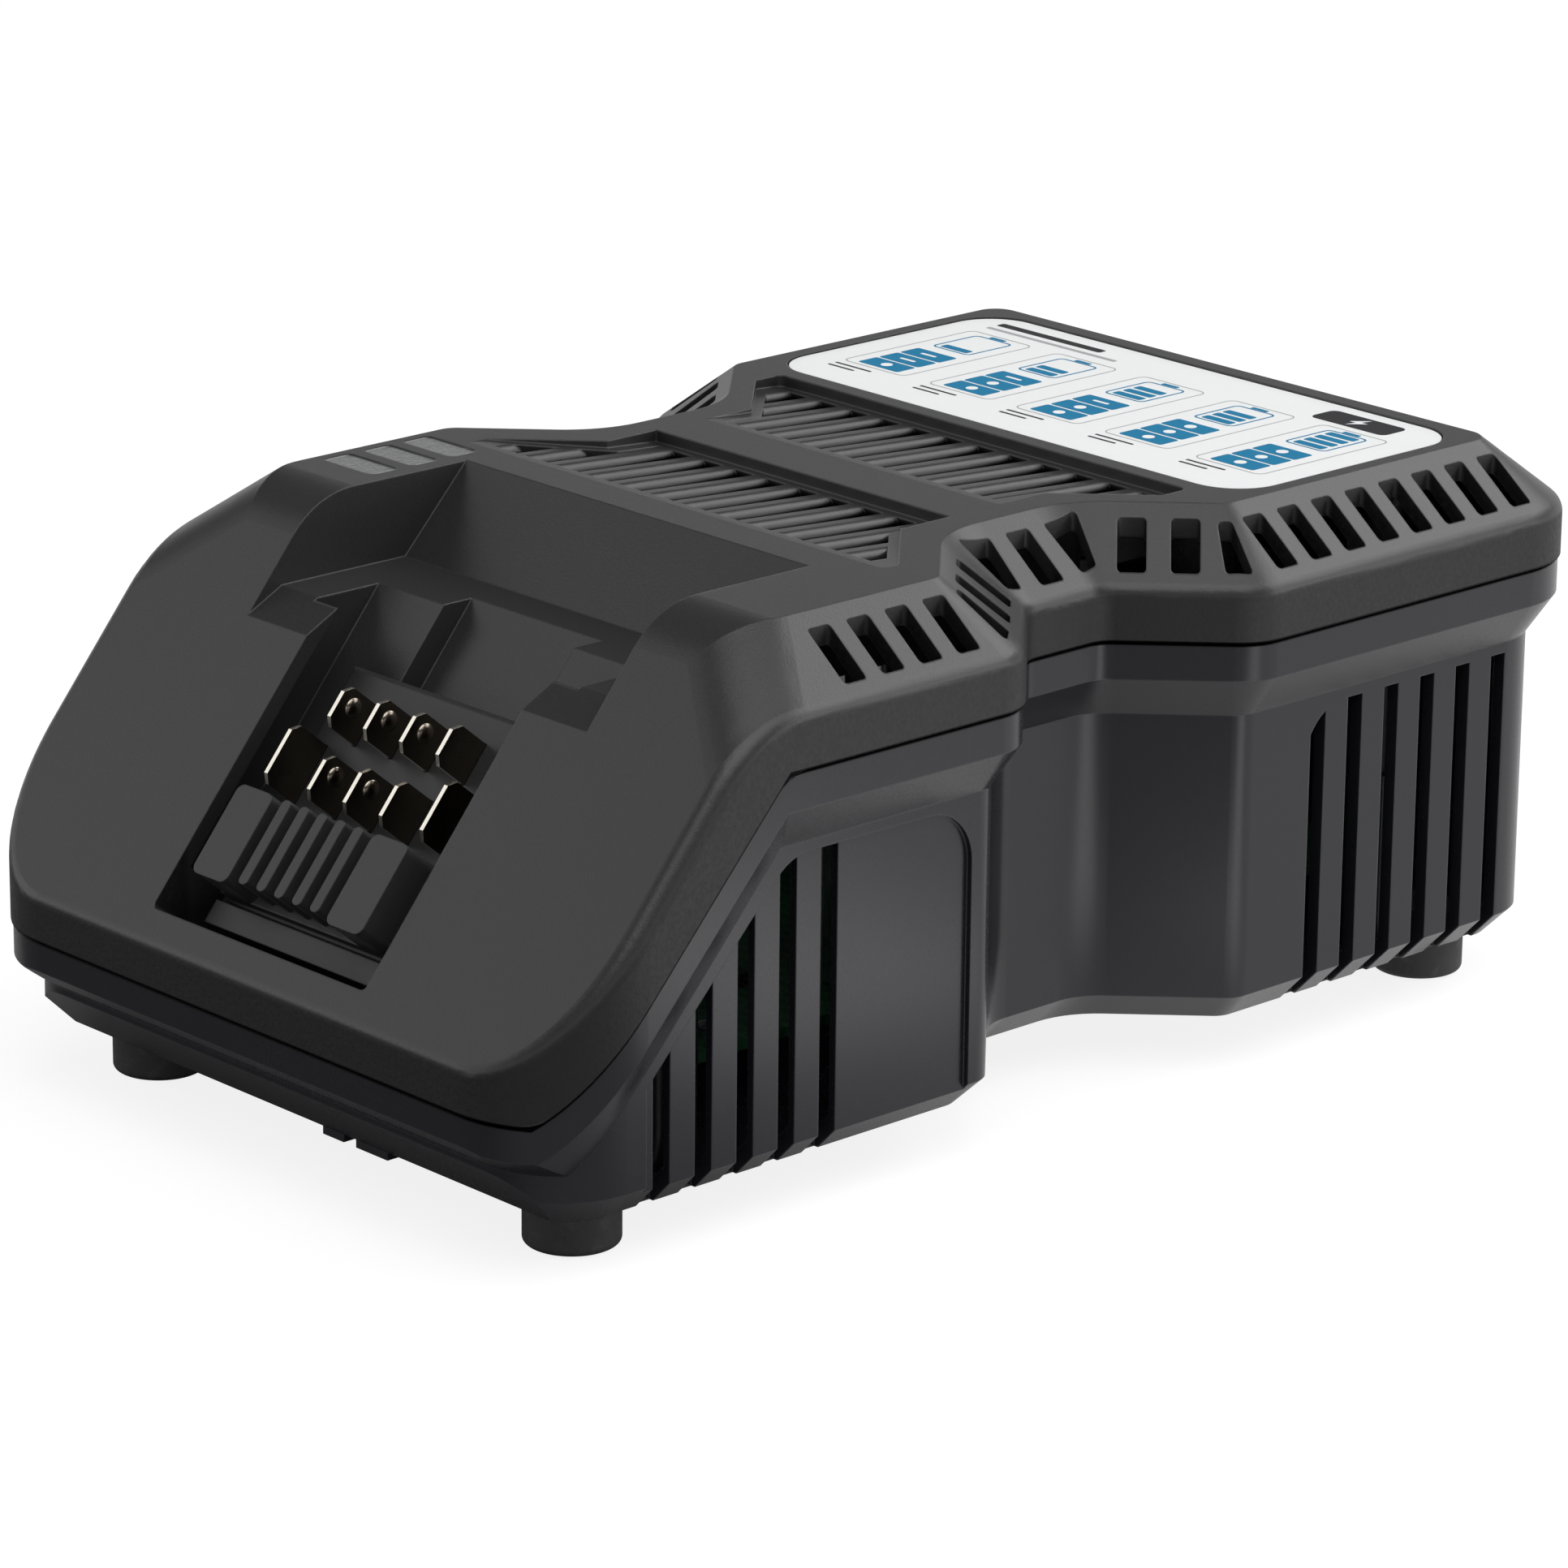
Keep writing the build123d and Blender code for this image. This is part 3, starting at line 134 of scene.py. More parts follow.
class Finish:
    """A procedural material on one Principled shader, whose varying inputs are node signals."""

    def __init__(self, name, colour, roughness, metallic=0.0, specular=0.5):
        self.material = bpy.data.materials.new(name)
        self.material.use_nodes = True
        self.tree = self.material.node_tree
        self.shader = self.tree.nodes["Principled BSDF"]
        self.colour = tuple(colour)[:3]
        self.set("Base Color", (*self.colour, 1.0))
        self.set("Roughness", roughness)
        self.set("Metallic", metallic)
        self.set("Specular IOR Level", specular)
        self.places = None

    def node(self, kind, settings=None, inputs=None, output=0):
        """Adds a node: its settings first, then the values or links of its sockets."""
        node = self.tree.nodes.new(kind)
        for name, value in (settings or {}).items():
            setattr(node, name, value)
        for name, value in (inputs or {}).items():
            self.feed(node.inputs[name], value)
        return Signal(self, node.outputs[output])

    def feed(self, socket, value):
        """Links a signal to a socket, or writes a plain value on it."""
        if isinstance(value, Signal):
            self.tree.links.new(value.socket, socket)
        else:
            socket.default_value = value

    def set(self, name, value):
        """Sets or links an input of the shader."""
        self.feed(self.shader.inputs[name], value)

    def place(self):
        """Where a point is on the object, in metres."""
        if self.places is None:
            self.places = self.node("ShaderNodeTexCoord", output="Object")
        return self.places

    def axes(self, vector):
        """The x, y and z of a vector signal."""
        parts = self.tree.nodes.new("ShaderNodeSeparateXYZ")
        self.feed(parts.inputs[0], vector)
        return [Signal(self, socket) for socket in parts.outputs]

    def facing(self):
        """Which way the surface faces, as x, y and z."""
        return self.axes(self.node("ShaderNodeNewGeometry", output="Normal"))

    def mottle(self, grain, detail=2.0, stretch=(1, 1, 1)):
        """Noise whose grains are about grain millimetres across, from 0 to 1."""
        stretched = self.node(
            "ShaderNodeVectorMath", {"operation": "MULTIPLY"}, {0: self.place(), 1: stretch}
        )
        return self.node(
            "ShaderNodeTexNoise",
            {},
            {"Vector": stretched, "Scale": 1 / (grain * MM), "Detail": detail},
        )

    def edges(self, width):
        """1 on sharp edges, in a line about width millimetres wide, and 0 on flats."""
        soft = self.node("ShaderNodeBevel", {"samples": 8}, {"Radius": width * MM})
        flat = self.node("ShaderNodeNewGeometry", output="Normal")
        match = self.node(
            "ShaderNodeVectorMath", {"operation": "DOT_PRODUCT"}, {0: soft, 1: flat}, "Value"
        )
        return 1 - match.between(0.82, 0.99)

    def tint(self, mask, under, over):
        """Colour under where mask is 0, and over where it is 1."""
        sides = {}
        for name, colour in (("A", under), ("B", over)):
            sides[name] = colour if isinstance(colour, Signal) else (*tuple(colour)[:3], 1.0)
        node = self.tree.nodes.new("ShaderNodeMix")
        node.data_type = "RGBA"
        self.feed(node.inputs["Factor"], mask)
        self.feed(node.inputs[6], sides["A"])
        self.feed(node.inputs[7], sides["B"])
        return Signal(self, node.outputs[2])

    def shade(self, factor):
        """The finish's own colour times a plain factor."""
        return tuple(min(1.0, channel * factor) for channel in self.colour)

    def dapple(self, mask, share):
        """The finish's own colour, from share darker where mask is 0 to share lighter at 1."""
        return self.tint(mask, self.shade(1 - share), self.shade(1 + share))

    def relief(self, height, depth, edge=0.0):
        """Bumps of depth millimetres, on edges that are rounded by edge millimetres."""
        inputs = {"Height": height, "Strength": 1.0, "Distance": depth * MM}
        if edge > 0:
            rounded = self.node("ShaderNodeBevel", {"samples": 6}, {"Radius": edge * MM})
            inputs["Normal"] = rounded
        self.set("Normal", self.node("ShaderNodeBump", {}, inputs))


def moulded(name, colour, roughness, grain, depth, edge=0.35, speckle=0.18):
    """Spark-textured moulded plastic: a fine grain, a soft cloudiness and rounded edges."""
    finish = Finish(name, colour, roughness)
    fine = finish.mottle(grain, 3.0)
    cloud = finish.mottle(CLOUD_GRAIN)
    shade = fine.between(0.35, 0.7) * 0.7 + cloud * 0.3
    finish.set("Base Color", finish.dapple(shade, speckle))
    finish.set("Roughness", roughness + (fine - 0.5) * 0.16 + (cloud - 0.5) * 0.08)
    finish.relief(fine, depth, edge)
    return finish


def bright_metal(name, colour, roughness, tarnish):
    """Rolled or plated metal with drawn lines and a darker stain."""
    finish = Finish(name, colour, roughness, metallic=1.0)
    lines = finish.mottle(0.5, 3.0, (1, 0.06, 0.06))
    cloud = finish.mottle(3.0, 3.0)
    finish.set("Base Color", finish.tint(cloud.between(0.35, 0.75) * 0.5, colour, tarnish))
    finish.set("Roughness", roughness + (lines - 0.5) * 0.18 + cloud * 0.08)
    finish.relief(lines, 0.01, 0.08)
    return finish


def dress(finish, *nodes):
    """Gives CAD nodes one finish."""
    for name in nodes:
        mesh = NODES[name].data
        mesh.materials.clear()
        mesh.materials.append(finish.material)


# ------------------------------------------------------------------ mesh helpers
def prism(mesh, points, low, high, slot):
    """A closed upright prism over a plan outline, with the material of a slot."""
    rings = []
    for z in (low, high):
        rings.append([mesh.verts.new((x * MM, y * MM, z * MM)) for x, y in points])
    faces = [mesh.faces.new(list(reversed(rings[0]))), mesh.faces.new(rings[1])]
    count = len(points)
    for n in range(count):
        m = (n + 1) % count
        faces.append(mesh.faces.new((rings[0][n], rings[0][m], rings[1][m], rings[1][n])))
    for face in faces:
        face.material_index = slot


def hoop(mesh, outer, inner, low, high, slot):
    """A closed upright ring between two outlines of as many points."""
    count = len(outer)
    rings = []
    for outline, z in ((outer, low), (outer, high), (inner, high), (inner, low)):
        rings.append([mesh.verts.new((x * MM, y * MM, z * MM)) for x, y in outline])
    for r in range(len(rings)):
        near = rings[r]
        far = rings[(r + 1) % len(rings)]
        for n in range(count):
            m = (n + 1) % count
            face = mesh.faces.new((near[n], near[m], far[m], far[n]))
            face.material_index = slot


def rounded(cx, cy, width, length, radius, steps=5):
    """Outline of a rectangle with rounded corners, anticlockwise."""
    points = []
    corners = ((1, -1, -90), (1, 1, 0), (-1, 1, 90), (-1, -1, 180))
    for sx, sy, start in corners:
        x = cx + sx * (width / 2 - radius)
        y = cy + sy * (length / 2 - radius)
        for n in range(steps + 1):
            angle = math.radians(start + 90 * n / steps)
            points.append((x + radius * math.cos(angle), y + radius * math.sin(angle)))
    return points


def disc(cx, cy, radius, steps=24):
    """Outline of a circle, anticlockwise."""
    turns = [FULL_TURN * n / steps for n in range(steps)]
    return [(cx + radius * math.cos(t), cy + radius * math.sin(t)) for t in turns]


def piece(name, mesh, finishes, smooth=False):
    """Makes an object of a mesh, which rides on the case. Its slots hold the finishes."""
    bmesh.ops.recalc_face_normals(mesh, faces=mesh.faces)
    data = bpy.data.meshes.new(name)
    mesh.to_mesh(data)
    mesh.free()
    for finish in finishes:
        data.materials.append(finish.material)
    for polygon in data.polygons:
        polygon.use_smooth = smooth
    made = bpy.data.objects.new(name, data)
    bpy.context.scene.collection.objects.link(made)
    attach(made, "case")


# ------------------------------------------------------------------ what a user would change
class CaseLook(bpy.types.PropertyGroup):
    """Plastics of the case."""

    upper: bpy.props.FloatVectorProperty(
        name="Upper shell", description="Colour of the upper shell", subtype="COLOR",
        size=3, default=(0.02, 0.02, 0.021),
    )
    lower: bpy.props.FloatVectorProperty(
        name="Lower shell", description="Colour of the lower shell", subtype="COLOR",
        size=3, default=(0.012, 0.012, 0.016),
    )
    grain: bpy.props.FloatProperty(
        name="Grain", description="Size of the moulded grain in millimetres",
        default=0.35, min=0.05,
    )
    skirt_shade: bpy.props.FloatProperty(
        name="Skirt shade", description="Brightness of the upright skirt of the upper shell",
        default=0.2, min=0.0, max=1.0, subtype="FACTOR",
    )
    # Painted highlights: how much lighter the sharp edges of the shells are painted.
    edge_highlight: bpy.props.FloatProperty(
        name="Edge shade", description="Brightness of the worn edges of the shells",
        default=2.4, min=0.0, max=10.0,
    )


class LabelLook(bpy.types.PropertyGroup):
    """The film on the deck and the status chart that is printed on it."""

    film: bpy.props.FloatVectorProperty(
        name="Film", description="Colour of the film", subtype="COLOR", size=3,
        default=(0.8, 0.81, 0.81),
    )
    ink: bpy.props.FloatVectorProperty(
        name="Ink", description="Colour of the chart's symbols", subtype="COLOR", size=3,
        default=(0.0, 0.17, 0.33),
    )
    dark_ink: bpy.props.FloatVectorProperty(
        name="Dark ink", description="Colour of the chart's bars", subtype="COLOR", size=3,
        default=(0.02, 0.02, 0.022),
    )
    columns: bpy.props.IntProperty(
        name="Columns", description="How many states the chart shows",
        default=5, min=2, max=7,
    )
    pitch: bpy.props.FloatProperty(
        name="Pitch", description="Distance between the columns in millimetres",
        default=20.6,
    )


class ContactLook(bpy.types.PropertyGroup):
    """The contact blades in the dock."""

    metal: bpy.props.FloatVectorProperty(
        name="Metal", description="Colour of the blades", subtype="COLOR", size=3,
        default=(0.8, 0.76, 0.68),
    )
    # Also the colour of the painted shade on the blades' side faces.
    tarnish: bpy.props.FloatVectorProperty(
        name="Tarnish", description="Colour of the stain on the blades", subtype="COLOR",
        size=3, default=(0.07, 0.052, 0.036),
    )
    dimple: bpy.props.FloatProperty(
        name="Dimple", description="Radius of the dimples in millimetres",
        default=1.7, min=0.5,
    )


class StageLook(bpy.types.PropertyGroup):
    """Floor, lamps and camera."""

    camera_place: bpy.props.FloatVectorProperty(
        name="Camera place", description="Where the camera stands, in metres",
        subtype="TRANSLATION", unit="LENGTH", size=3, default=(0.777324, -0.726114, 0.384606),
    )
    camera_turn: bpy.props.FloatVectorProperty(
        name="Camera turn", description="How the camera is turned", subtype="EULER", size=3,
        default=(1.257616, -0.009625, 0.824090),
    )
    lens: bpy.props.FloatProperty(
        name="Lens", description="Focal length in millimetres", default=158.81, min=20,
    )
    floor: bpy.props.FloatVectorProperty(
        name="Floor", description="Colour of the floor", subtype="COLOR", size=3,
        default=(0.32, 0.32, 0.32),
    )


LOOKS = {
    "charger_case": CaseLook,
    "charger_label": LabelLook,
    "charger_contacts": ContactLook,
    "charger_stage": StageLook,
}


# ------------------------------------------------------------------ stage
class CHARGER_OT_stage(bpy.types.Operator):
    """Sets up the pale floor, the soft lamps and the camera"""

    bl_idname = "charger.stage"
    bl_label = "Stage"

    # name, place, aim and size in metres, and power in watts
    lamps = (
        ("lamp_top", (0.45, -0.3, 1.25), (0.1, 0, 0.05), (1.3, 1.3), 13.0),
        ("lamp_back", (0.42, 1.1, 1.1), (0, 0, 0.05), (1.5, 0.8), 14.0),
        ("lamp_left", (-1.35, -1.05, 0.8), (0, -0.05, 0.05), (1.1, 1.5), 5.6),
        ("lamp_right", (1.2, 1.0, 0.45), (0, 0, 0.05), (0.5, 0.9), 4.0),
    )
    # Strength of the horizon and of the sky above it, and the heights between which they meet.
    horizon_strength = 1.0
    sky_strength = 0.12
    horizon_top = (0.16, 0.3)
    # The floor's radius in metres, and how far it lies below the feet.
    floor_radius = 9.0
    floor_gap = 0.2
    # Strength of the floor's glow, and its share: for the camera, and for the plastic's gloss
    # under and behind the case and beside its waist.
    glow_strength = 2.5
    glow_seen = 0.34
    glow_behind = 0.24
    glow_beside = 0.5
    # How much of its light the floor before the nose keeps back from the plastic's gloss.
    dark_ahead = 0.6

    def execute(self, context):
        look = context.scene.charger_stage
        self.camera(context, look)
        self.floor(look)
        self.world(context)
        for name, place, aim, size, power in self.lamps:
            self.lamp(name, Vector(place), Vector(aim), size, power)
        return {"FINISHED"}

    def camera(self, context, look):
        """The camera, with its frame over the whole object."""
        data = bpy.data.cameras.new("camera")
        data.sensor_width = 36.0
        data.lens = look.lens
        data.clip_start = 0.05
        data.clip_end = 50.0
        camera = bpy.data.objects.new("camera", data)
        camera.location = look.camera_place
        camera.rotation_euler = look.camera_turn
        context.scene.collection.objects.link(camera)
        context.scene.camera = camera

    def floor(self, look):
        """A wide floor, white to the camera, that still takes the object's shadow."""
        mesh = bmesh.new()
        bmesh.ops.create_circle(mesh, cap_ends=True, radius=self.floor_radius, segments=64)
        data = bpy.data.meshes.new("floor")
        mesh.to_mesh(data)
        mesh.free()
        floor = bpy.data.objects.new("floor", data)
        floor.location.z = -self.floor_gap * MM
        bpy.context.scene.collection.objects.link(floor)
        data.materials.append(self.paper(look).material)

    def paper(self, look):
        """The floor's paper: a part of its light is a glow that only some rays see."""
        finish = Finish("floor_paper", look.floor, 0.9, specular=0.1)
        finish.set("Base Color", finish.dapple(finish.mottle(300.0), 0.02))
        camera, glossy, clear = (
            finish.node("ShaderNodeLightPath", output=f"Is {ray} Ray")
            for ray in ("Camera", "Glossy", "Transmission")
        )
        x, y, _ = finish.axes(finish.place())
        behind = y.past(-100, 40)
        beside = x.unsigned().past(100, 140) * y.past(-50, 0) * (1 - y.past(20, 80))
        ahead = (1 - x.past(30, 90)) * (1 - y.past(-130, -110))
        mirrored = behind * self.glow_behind + beside * self.glow_beside
        seen = (camera + clear) * self.glow_seen + glossy * mirrored
        glow = finish.node(
            "ShaderNodeEmission", {}, {"Color": (1, 1, 1, 1), "Strength": self.glow_strength}
        )
        black = finish.node("ShaderNodeEmission", {}, {"Strength": 0.0})
        lit = Signal(finish, finish.shader.outputs[0])
        dimmed = glossy * ahead * self.dark_ahead
        lit = finish.node("ShaderNodeMixShader", {}, {0: dimmed, 1: lit, 2: black})
        both = finish.node("ShaderNodeMixShader", {}, {0: seen, 1: lit, 2: glow})
        finish.feed(finish.tree.nodes["Material Output"].inputs["Surface"], both)
        return finish

    def world(self, context):
        """A bright band round the horizon, and a soft grey fill above it."""
        world = bpy.data.worlds.new("studio")
        world.use_nodes = True
        nodes = world.node_tree.nodes
        sky = nodes["Background"]
        horizon = nodes.new("ShaderNodeBackground")
        for light, strength in ((sky, self.sky_strength), (horizon, self.horizon_strength)):
            light.inputs["Color"].default_value = (1, 1, 1, 1)
            light.inputs["Strength"].default_value = strength
        way = nodes.new("ShaderNodeTexCoord")
        axes = nodes.new("ShaderNodeSeparateXYZ")
        height = nodes.new("ShaderNodeMapRange")
        height.interpolation_type = "SMOOTHSTEP"
        height.inputs["From Min"].default_value = self.horizon_top[0]
        height.inputs["From Max"].default_value = self.horizon_top[1]
        both = nodes.new("ShaderNodeMixShader")
        for start, end in (
            (way.outputs["Generated"], axes.inputs[0]),
            (axes.outputs["Z"], height.inputs["Value"]),
            (height.outputs[0], both.inputs[0]),
            (horizon.outputs[0], both.inputs[1]),
            (sky.outputs[0], both.inputs[2]),
            (both.outputs[0], nodes["World Output"].inputs["Surface"]),
        ):
            world.node_tree.links.new(start, end)
        context.scene.world = world
        context.scene.view_settings.view_transform = "Standard"

    def lamp(self, name, place, aim, size, power):
        """A soft rectangular lamp that looks at a point."""
        data = bpy.data.lights.new(name, "AREA")
        data.shape = "RECTANGLE"
        data.size, data.size_y = size
        data.energy = power
        lamp = bpy.data.objects.new(name, data)
        lamp.location = place
        lamp.rotation_euler = (aim - place).to_track_quat("-Z", "Y").to_euler()
        bpy.context.scene.collection.objects.link(lamp)


# ------------------------------------------------------------------ case
class CHARGER_OT_case(bpy.types.Operator):
    """Finishes the two shells, the gland and all screws"""

    bl_idname = "charger.case"
    bl_label = "Case"

    def execute(self, context):
        look = context.scene.charger_case
        self.upper(look)
        self.lower(look)
        black = moulded("gland_plastic", (0.02, 0.02, 0.02), 0.45, 0.3, 0.02)
        dress(black, "mains_gland", "gland_nut")
        zinc = bright_metal("screw_zinc", (0.55, 0.55, 0.56), 0.3, (0.3, 0.29, 0.27))
        dress(zinc, "case_screws", "board_screws", "fan_screws")
        return {"FINISHED"}

    def upper(self, look):
        """Finishes the upper shell, whose upright skirt is darker and coarser than its top."""
        finish = Finish("upper_plastic", look.upper, 0.38)
        up = finish.facing()[2]
        skirt = (1 - up.unsigned().between(0.12, 0.32)) * self.outside(finish)
        # Painted shade: black deep in the grilles, on faces that do not face up.
        deep = (1 - up.between(0.8, 0.98)) * self.grilles(finish)
        coarse = finish.mottle(0.8, 3.0)
        fine = finish.mottle(look.grain, 3.0)
        cloud = finish.mottle(CLOUD_GRAIN)
        top = finish.dapple(fine.between(0.35, 0.7) * 0.7 + cloud * 0.3, 0.14)
        dark = finish.tint(
            coarse.between(0.4, 0.7),
            finish.shade(look.skirt_shade * 0.8),
            finish.shade(look.skirt_shade * 1.25),
        )
        self.colour(finish, finish.tint(skirt, top, dark), look.edge_highlight, deep * 0.9)
        finish.set("Roughness", 0.38 + (fine - 0.5) * 0.14 + skirt * coarse * 0.36)
        finish.relief(fine * (1 - skirt) + coarse * skirt * 1.8, 0.03, 0.4)
        dress(finish, "upper_shell")

    def lower(self, look):
        """Finishes the lower shell, which is smoother and glossier."""
        finish = moulded("lower_plastic", look.lower, 0.24, 0.6, 0.003)
        self.colour(finish, finish.dapple(finish.mottle(0.6), 0.06), look.edge_highlight)
        dress(finish, "lower_shell")

    def colour(self, finish, shell, edge_highlight, deep=0.0):
        """Colours a shell: painted highlights on its edges, and black painted shade on the parting
        line and where deep.

        Metal of a black colour gives back no light, as an open slot does.
        """
        # Painted highlights: the sharp edges are painted lighter than the shell.
        highlit = finish.tint(finish.edges(EDGE_WIDTH), shell, finish.shade(edge_highlight))
        # Painted shade: black on the parting line and deep in the grilles.
        slot = self.seam(finish).maths("MAXIMUM", deep)
        finish.set("Base Color", finish.tint(slot, highlit, SHADE_BLACK))
        finish.set("Metallic", slot)

    def seam(self, finish):
        """1 on the parting line between the shells, where black shade is painted, and 0 elsewhere.
        """
        _, y, z = finish.axes(finish.place())
        slope = (SEAM_SIDE.y - SEAM_NOSE.y) / (SEAM_SIDE.x - SEAM_NOSE.x)
        line = (y - SEAM_SIDE.x * MM) * slope + SEAM_SIDE.y * MM
        line = line.maths("MINIMUM", SEAM_SIDE.y * MM).maths("MAXIMUM", SEAM_NOSE.y * MM)
        near = 1 - (z - line).unsigned().past(SEAM_WIDTH / 2, SEAM_WIDTH)
        return near * self.outside(finish)

    def outside(self, finish):
        """1 on the outer walls, and 0 further in: in the dock, the grilles and the case."""
        x, y, _ = finish.axes(finish.place())
        sides = x.unsigned().past(*OUTER_X)
        ends = y.unsigned().past(*OUTER_Y)
        return sides.maths("MAXIMUM", ends)

    def grilles(self, finish):
        """1 below the tops of the ribs of the deck's grilles, where black shade is painted, and 0
        elsewhere.
        """
        x, y, z = finish.axes(finish.place())
        length = y.past(*GRILLE_FRONT) * (1 - y.past(*GRILLE_BACK))
        from_waist = (y - GRILLE_WAIST.y * MM).unsigned() - GRILLE_WAIST_LENGTH / 2 * MM
        reach = from_waist.maths("MAXIMUM", 0.0) * GRILLE_FLARE + GRILLE_WAIST.x * MM
        width = 1 - (x.unsigned() - reach).past(-1, 1)
        return length * width * z.past(*RIB_FOOT) * (1 - z.past(*RIB_FADE))


# ------------------------------------------------------------------ label
INK_BLUE, INK_DARK, INK_GREY, INK_WHITE = range(4)


class CHARGER_OT_label(bpy.types.Operator):
    """Finishes the film on the deck and prints a status chart on it"""

    bl_idname = "charger.label"
    bl_label = "Label"

    # How far above the film a print starts and ends, and where a print over it ends.
    levels = (0.005, 0.035, 0.055)
    # The middle of the columns along the deck, and the width, length and corner of their parts.
    panel_y = 71.0
    panel = (15.0, 31.0, 1.6)
    lamp = (9.6, 4.4, 0.5)
    lamp_dash = (3.6, 0.7, 0.3)
    cell = (9.0, 11.0, 1.2)
    cell_cap = (3.6, 0.9, 0.2)
    cell_bar = (6.4, 1.8, 0.4)
    dot_radius = 1.05
    # The width of the lines round a panel and a cell.
    panel_line = 0.25
    cell_line = 0.35
    # The first lamp behind the panel's front, the cell before its back, and the steps that follow.
    lamp_inset = 3.4
    lamp_step = 4.9
    cell_inset = 7.4
    # The cap and the first bar from the middle of the cell.
    cap_shift = 6.1
    bar_shift = -3.75
    bar_step = 2.5
    # The two caption lines before a panel: how long they are, their thickness and corner.
    caption_reaches = (8.6, 6.2)
    caption_line = (0.55, 0.2)
    caption_indent = 0.6
    caption_gap = 1.9
    caption_step = 1.7
    # The place, width, length and corner of the heading's two bars and of the badge.
    title = (-36.0, 92.9, 25.0, 1.9, 0.5)
    subtitle = (-33.0, 89.9, 31.0, 1.0, 0.3)
    badge = (37.0, 91.4, 16.5, 6.2, 1.4)
    # The outline of the badge's bolt round its middle.
    bolt = ((0.9, 2.3), (-1.7, -0.35), (-0.25, -0.35), (-0.9, -2.3), (1.7, 0.35), (0.25, 0.35))

    def execute(self, context):
        look = context.scene.charger_label
        film = Finish("label_film", look.film, 0.4, specular=0.25)
        weave = film.mottle(1.2)
        film.set("Base Color", film.dapple(weave, 0.015))
        film.set("Roughness", 0.4 + (weave - 0.5) * 0.08)
        film.relief(weave, 0.004, 0.12)
        dress(film, "label_plate")
        self.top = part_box("label_plate")[1].z / MM
        mesh = bmesh.new()
        for n in range(look.columns):
            x = (n - (look.columns - 1) / 2) * look.pitch
            self.column(mesh, x, n / (look.columns - 1))
        self.heading(mesh)
        piece("label_print", mesh, self.inks(look))
        return {"FINISHED"}

    def inks(self, look):
        """The print's finishes, in the order of the INK slots."""
        inks = []
        for name, colour in (
            ("ink_blue", look.ink),
            ("ink_dark", look.dark_ink),
            ("ink_grey", (0.36, 0.37, 0.38)),
            ("ink_white", look.film),
        ):
            ink = Finish(name, colour, 0.5, specular=0.15)
            dots = ink.mottle(0.25)
            ink.set("Base Color", ink.dapple(dots, 0.07))
            ink.relief(dots, 0.003)
            inks.append(ink)
        return inks

    def patch(self, mesh, outline, ink, above=0):
        """One printed patch; above 1 prints it over another patch."""
        low = self.top + self.levels[0]
        high = self.top + self.levels[1 + above]
        prism(mesh, outline, low, high, ink)

    def border(self, mesh, x, y, size, line, ink):
        """A printed line of a width round the inside of a rounded rectangle."""
        width, length, radius = size
        outer = rounded(x, y, width, length, radius)
        inner = rounded(x, y, width - 2 * line, length - 2 * line, radius - line)
        low = self.top + self.levels[0]
        high = self.top + self.levels[1]
        hoop(mesh, outer, inner, low, high, ink)

    def column(self, mesh, x, charge):
        """One state: three lamps in front of a battery that is filled to charge."""
        front = self.panel_y - self.panel[1] / 2
        back = self.panel_y + self.panel[1] / 2
        left = x - self.panel[0] / 2
        self.border(mesh, x, self.panel_y, self.panel, self.panel_line, INK_GREY)
        for n in range(3):
            y = front + self.lamp_inset + n * self.lamp_step
            self.patch(mesh, rounded(x, y, *self.lamp), INK_BLUE)
            lit = n < 1 + 2 * charge
            mark = disc(x, y, self.dot_radius) if lit else rounded(x, y, *self.lamp_dash)
            self.patch(mesh, mark, INK_WHITE, 1)
        y = back - self.cell_inset
        self.border(mesh, x, y, self.cell, self.cell_line, INK_BLUE)
        self.patch(mesh, rounded(x, y + self.cap_shift, *self.cell_cap), INK_BLUE)
        for n in range(1 + round(3 * charge)):
            bar = rounded(x, y + self.bar_shift + n * self.bar_step, *self.cell_bar)
            self.patch(mesh, bar, INK_BLUE)
        for n, reach in enumerate(self.caption_reaches):
            middle = left + self.caption_indent + reach / 2
            y = front - self.caption_gap - n * self.caption_step
            self.patch(mesh, rounded(middle, y, reach, *self.caption_line), INK_DARK)

    def heading(self, mesh):
        """Two plain bars at the back edge, and a pale bolt in a dark badge."""
        self.patch(mesh, rounded(*self.title), INK_DARK)
        self.patch(mesh, rounded(*self.subtitle), INK_GREY)
        self.patch(mesh, rounded(*self.badge), INK_DARK)
        x, y = self.badge[:2]
        self.patch(mesh, [(x + u, y + v) for u, v in self.bolt], INK_WHITE, 1)


# ------------------------------------------------------------------ indicator windows
class CHARGER_OT_windows(bpy.types.Operator):
    """Finishes the clear windows and the lamps below them"""

    bl_idname = "charger.windows"
    bl_label = "Windows"

    def execute(self, context):
        for n in range(1, 4):
            name = f"light_window_{n}"
            clear = Finish(f"window_clear_{n}", (0.3, 0.305, 0.31), 0.2)
            clear.set("Transmission Weight", 0.6)
            clear.set("IOR", 1.49)
            ripple = clear.mottle(0.7)
            rim = self.rim(clear, name)
            core = clear.dapple(ripple, 0.2)
            clear.set("Base Color", clear.tint(rim, core, (0.7, 0.7, 0.71)))
            clear.set("Roughness", 0.12 + ripple * 0.14 + rim * 0.25)
            clear.relief(ripple, 0.04, 0.25)
            dress(clear, name)
        emitter = moulded("light_body", (0.75, 0.75, 0.68), 0.3, 0.5, 0.01)
        dress(emitter, "indicator_lights")
        return {"FINISHED"}

    def rim(self, finish, name, width=0.5):
        """1 on the border of a window's top, width millimetres wide, and 0 inside it."""
        low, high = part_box(name)
        middle = (low + high) / 2
        half = (high - low) / 2
        x, y, _ = finish.axes(finish.place())
        across = (x - middle.x).unsigned() - half.x
        along = (y - middle.y).unsigned() - half.y
        return across.maths("MAXIMUM", along).past(-1.5 * width, -width)


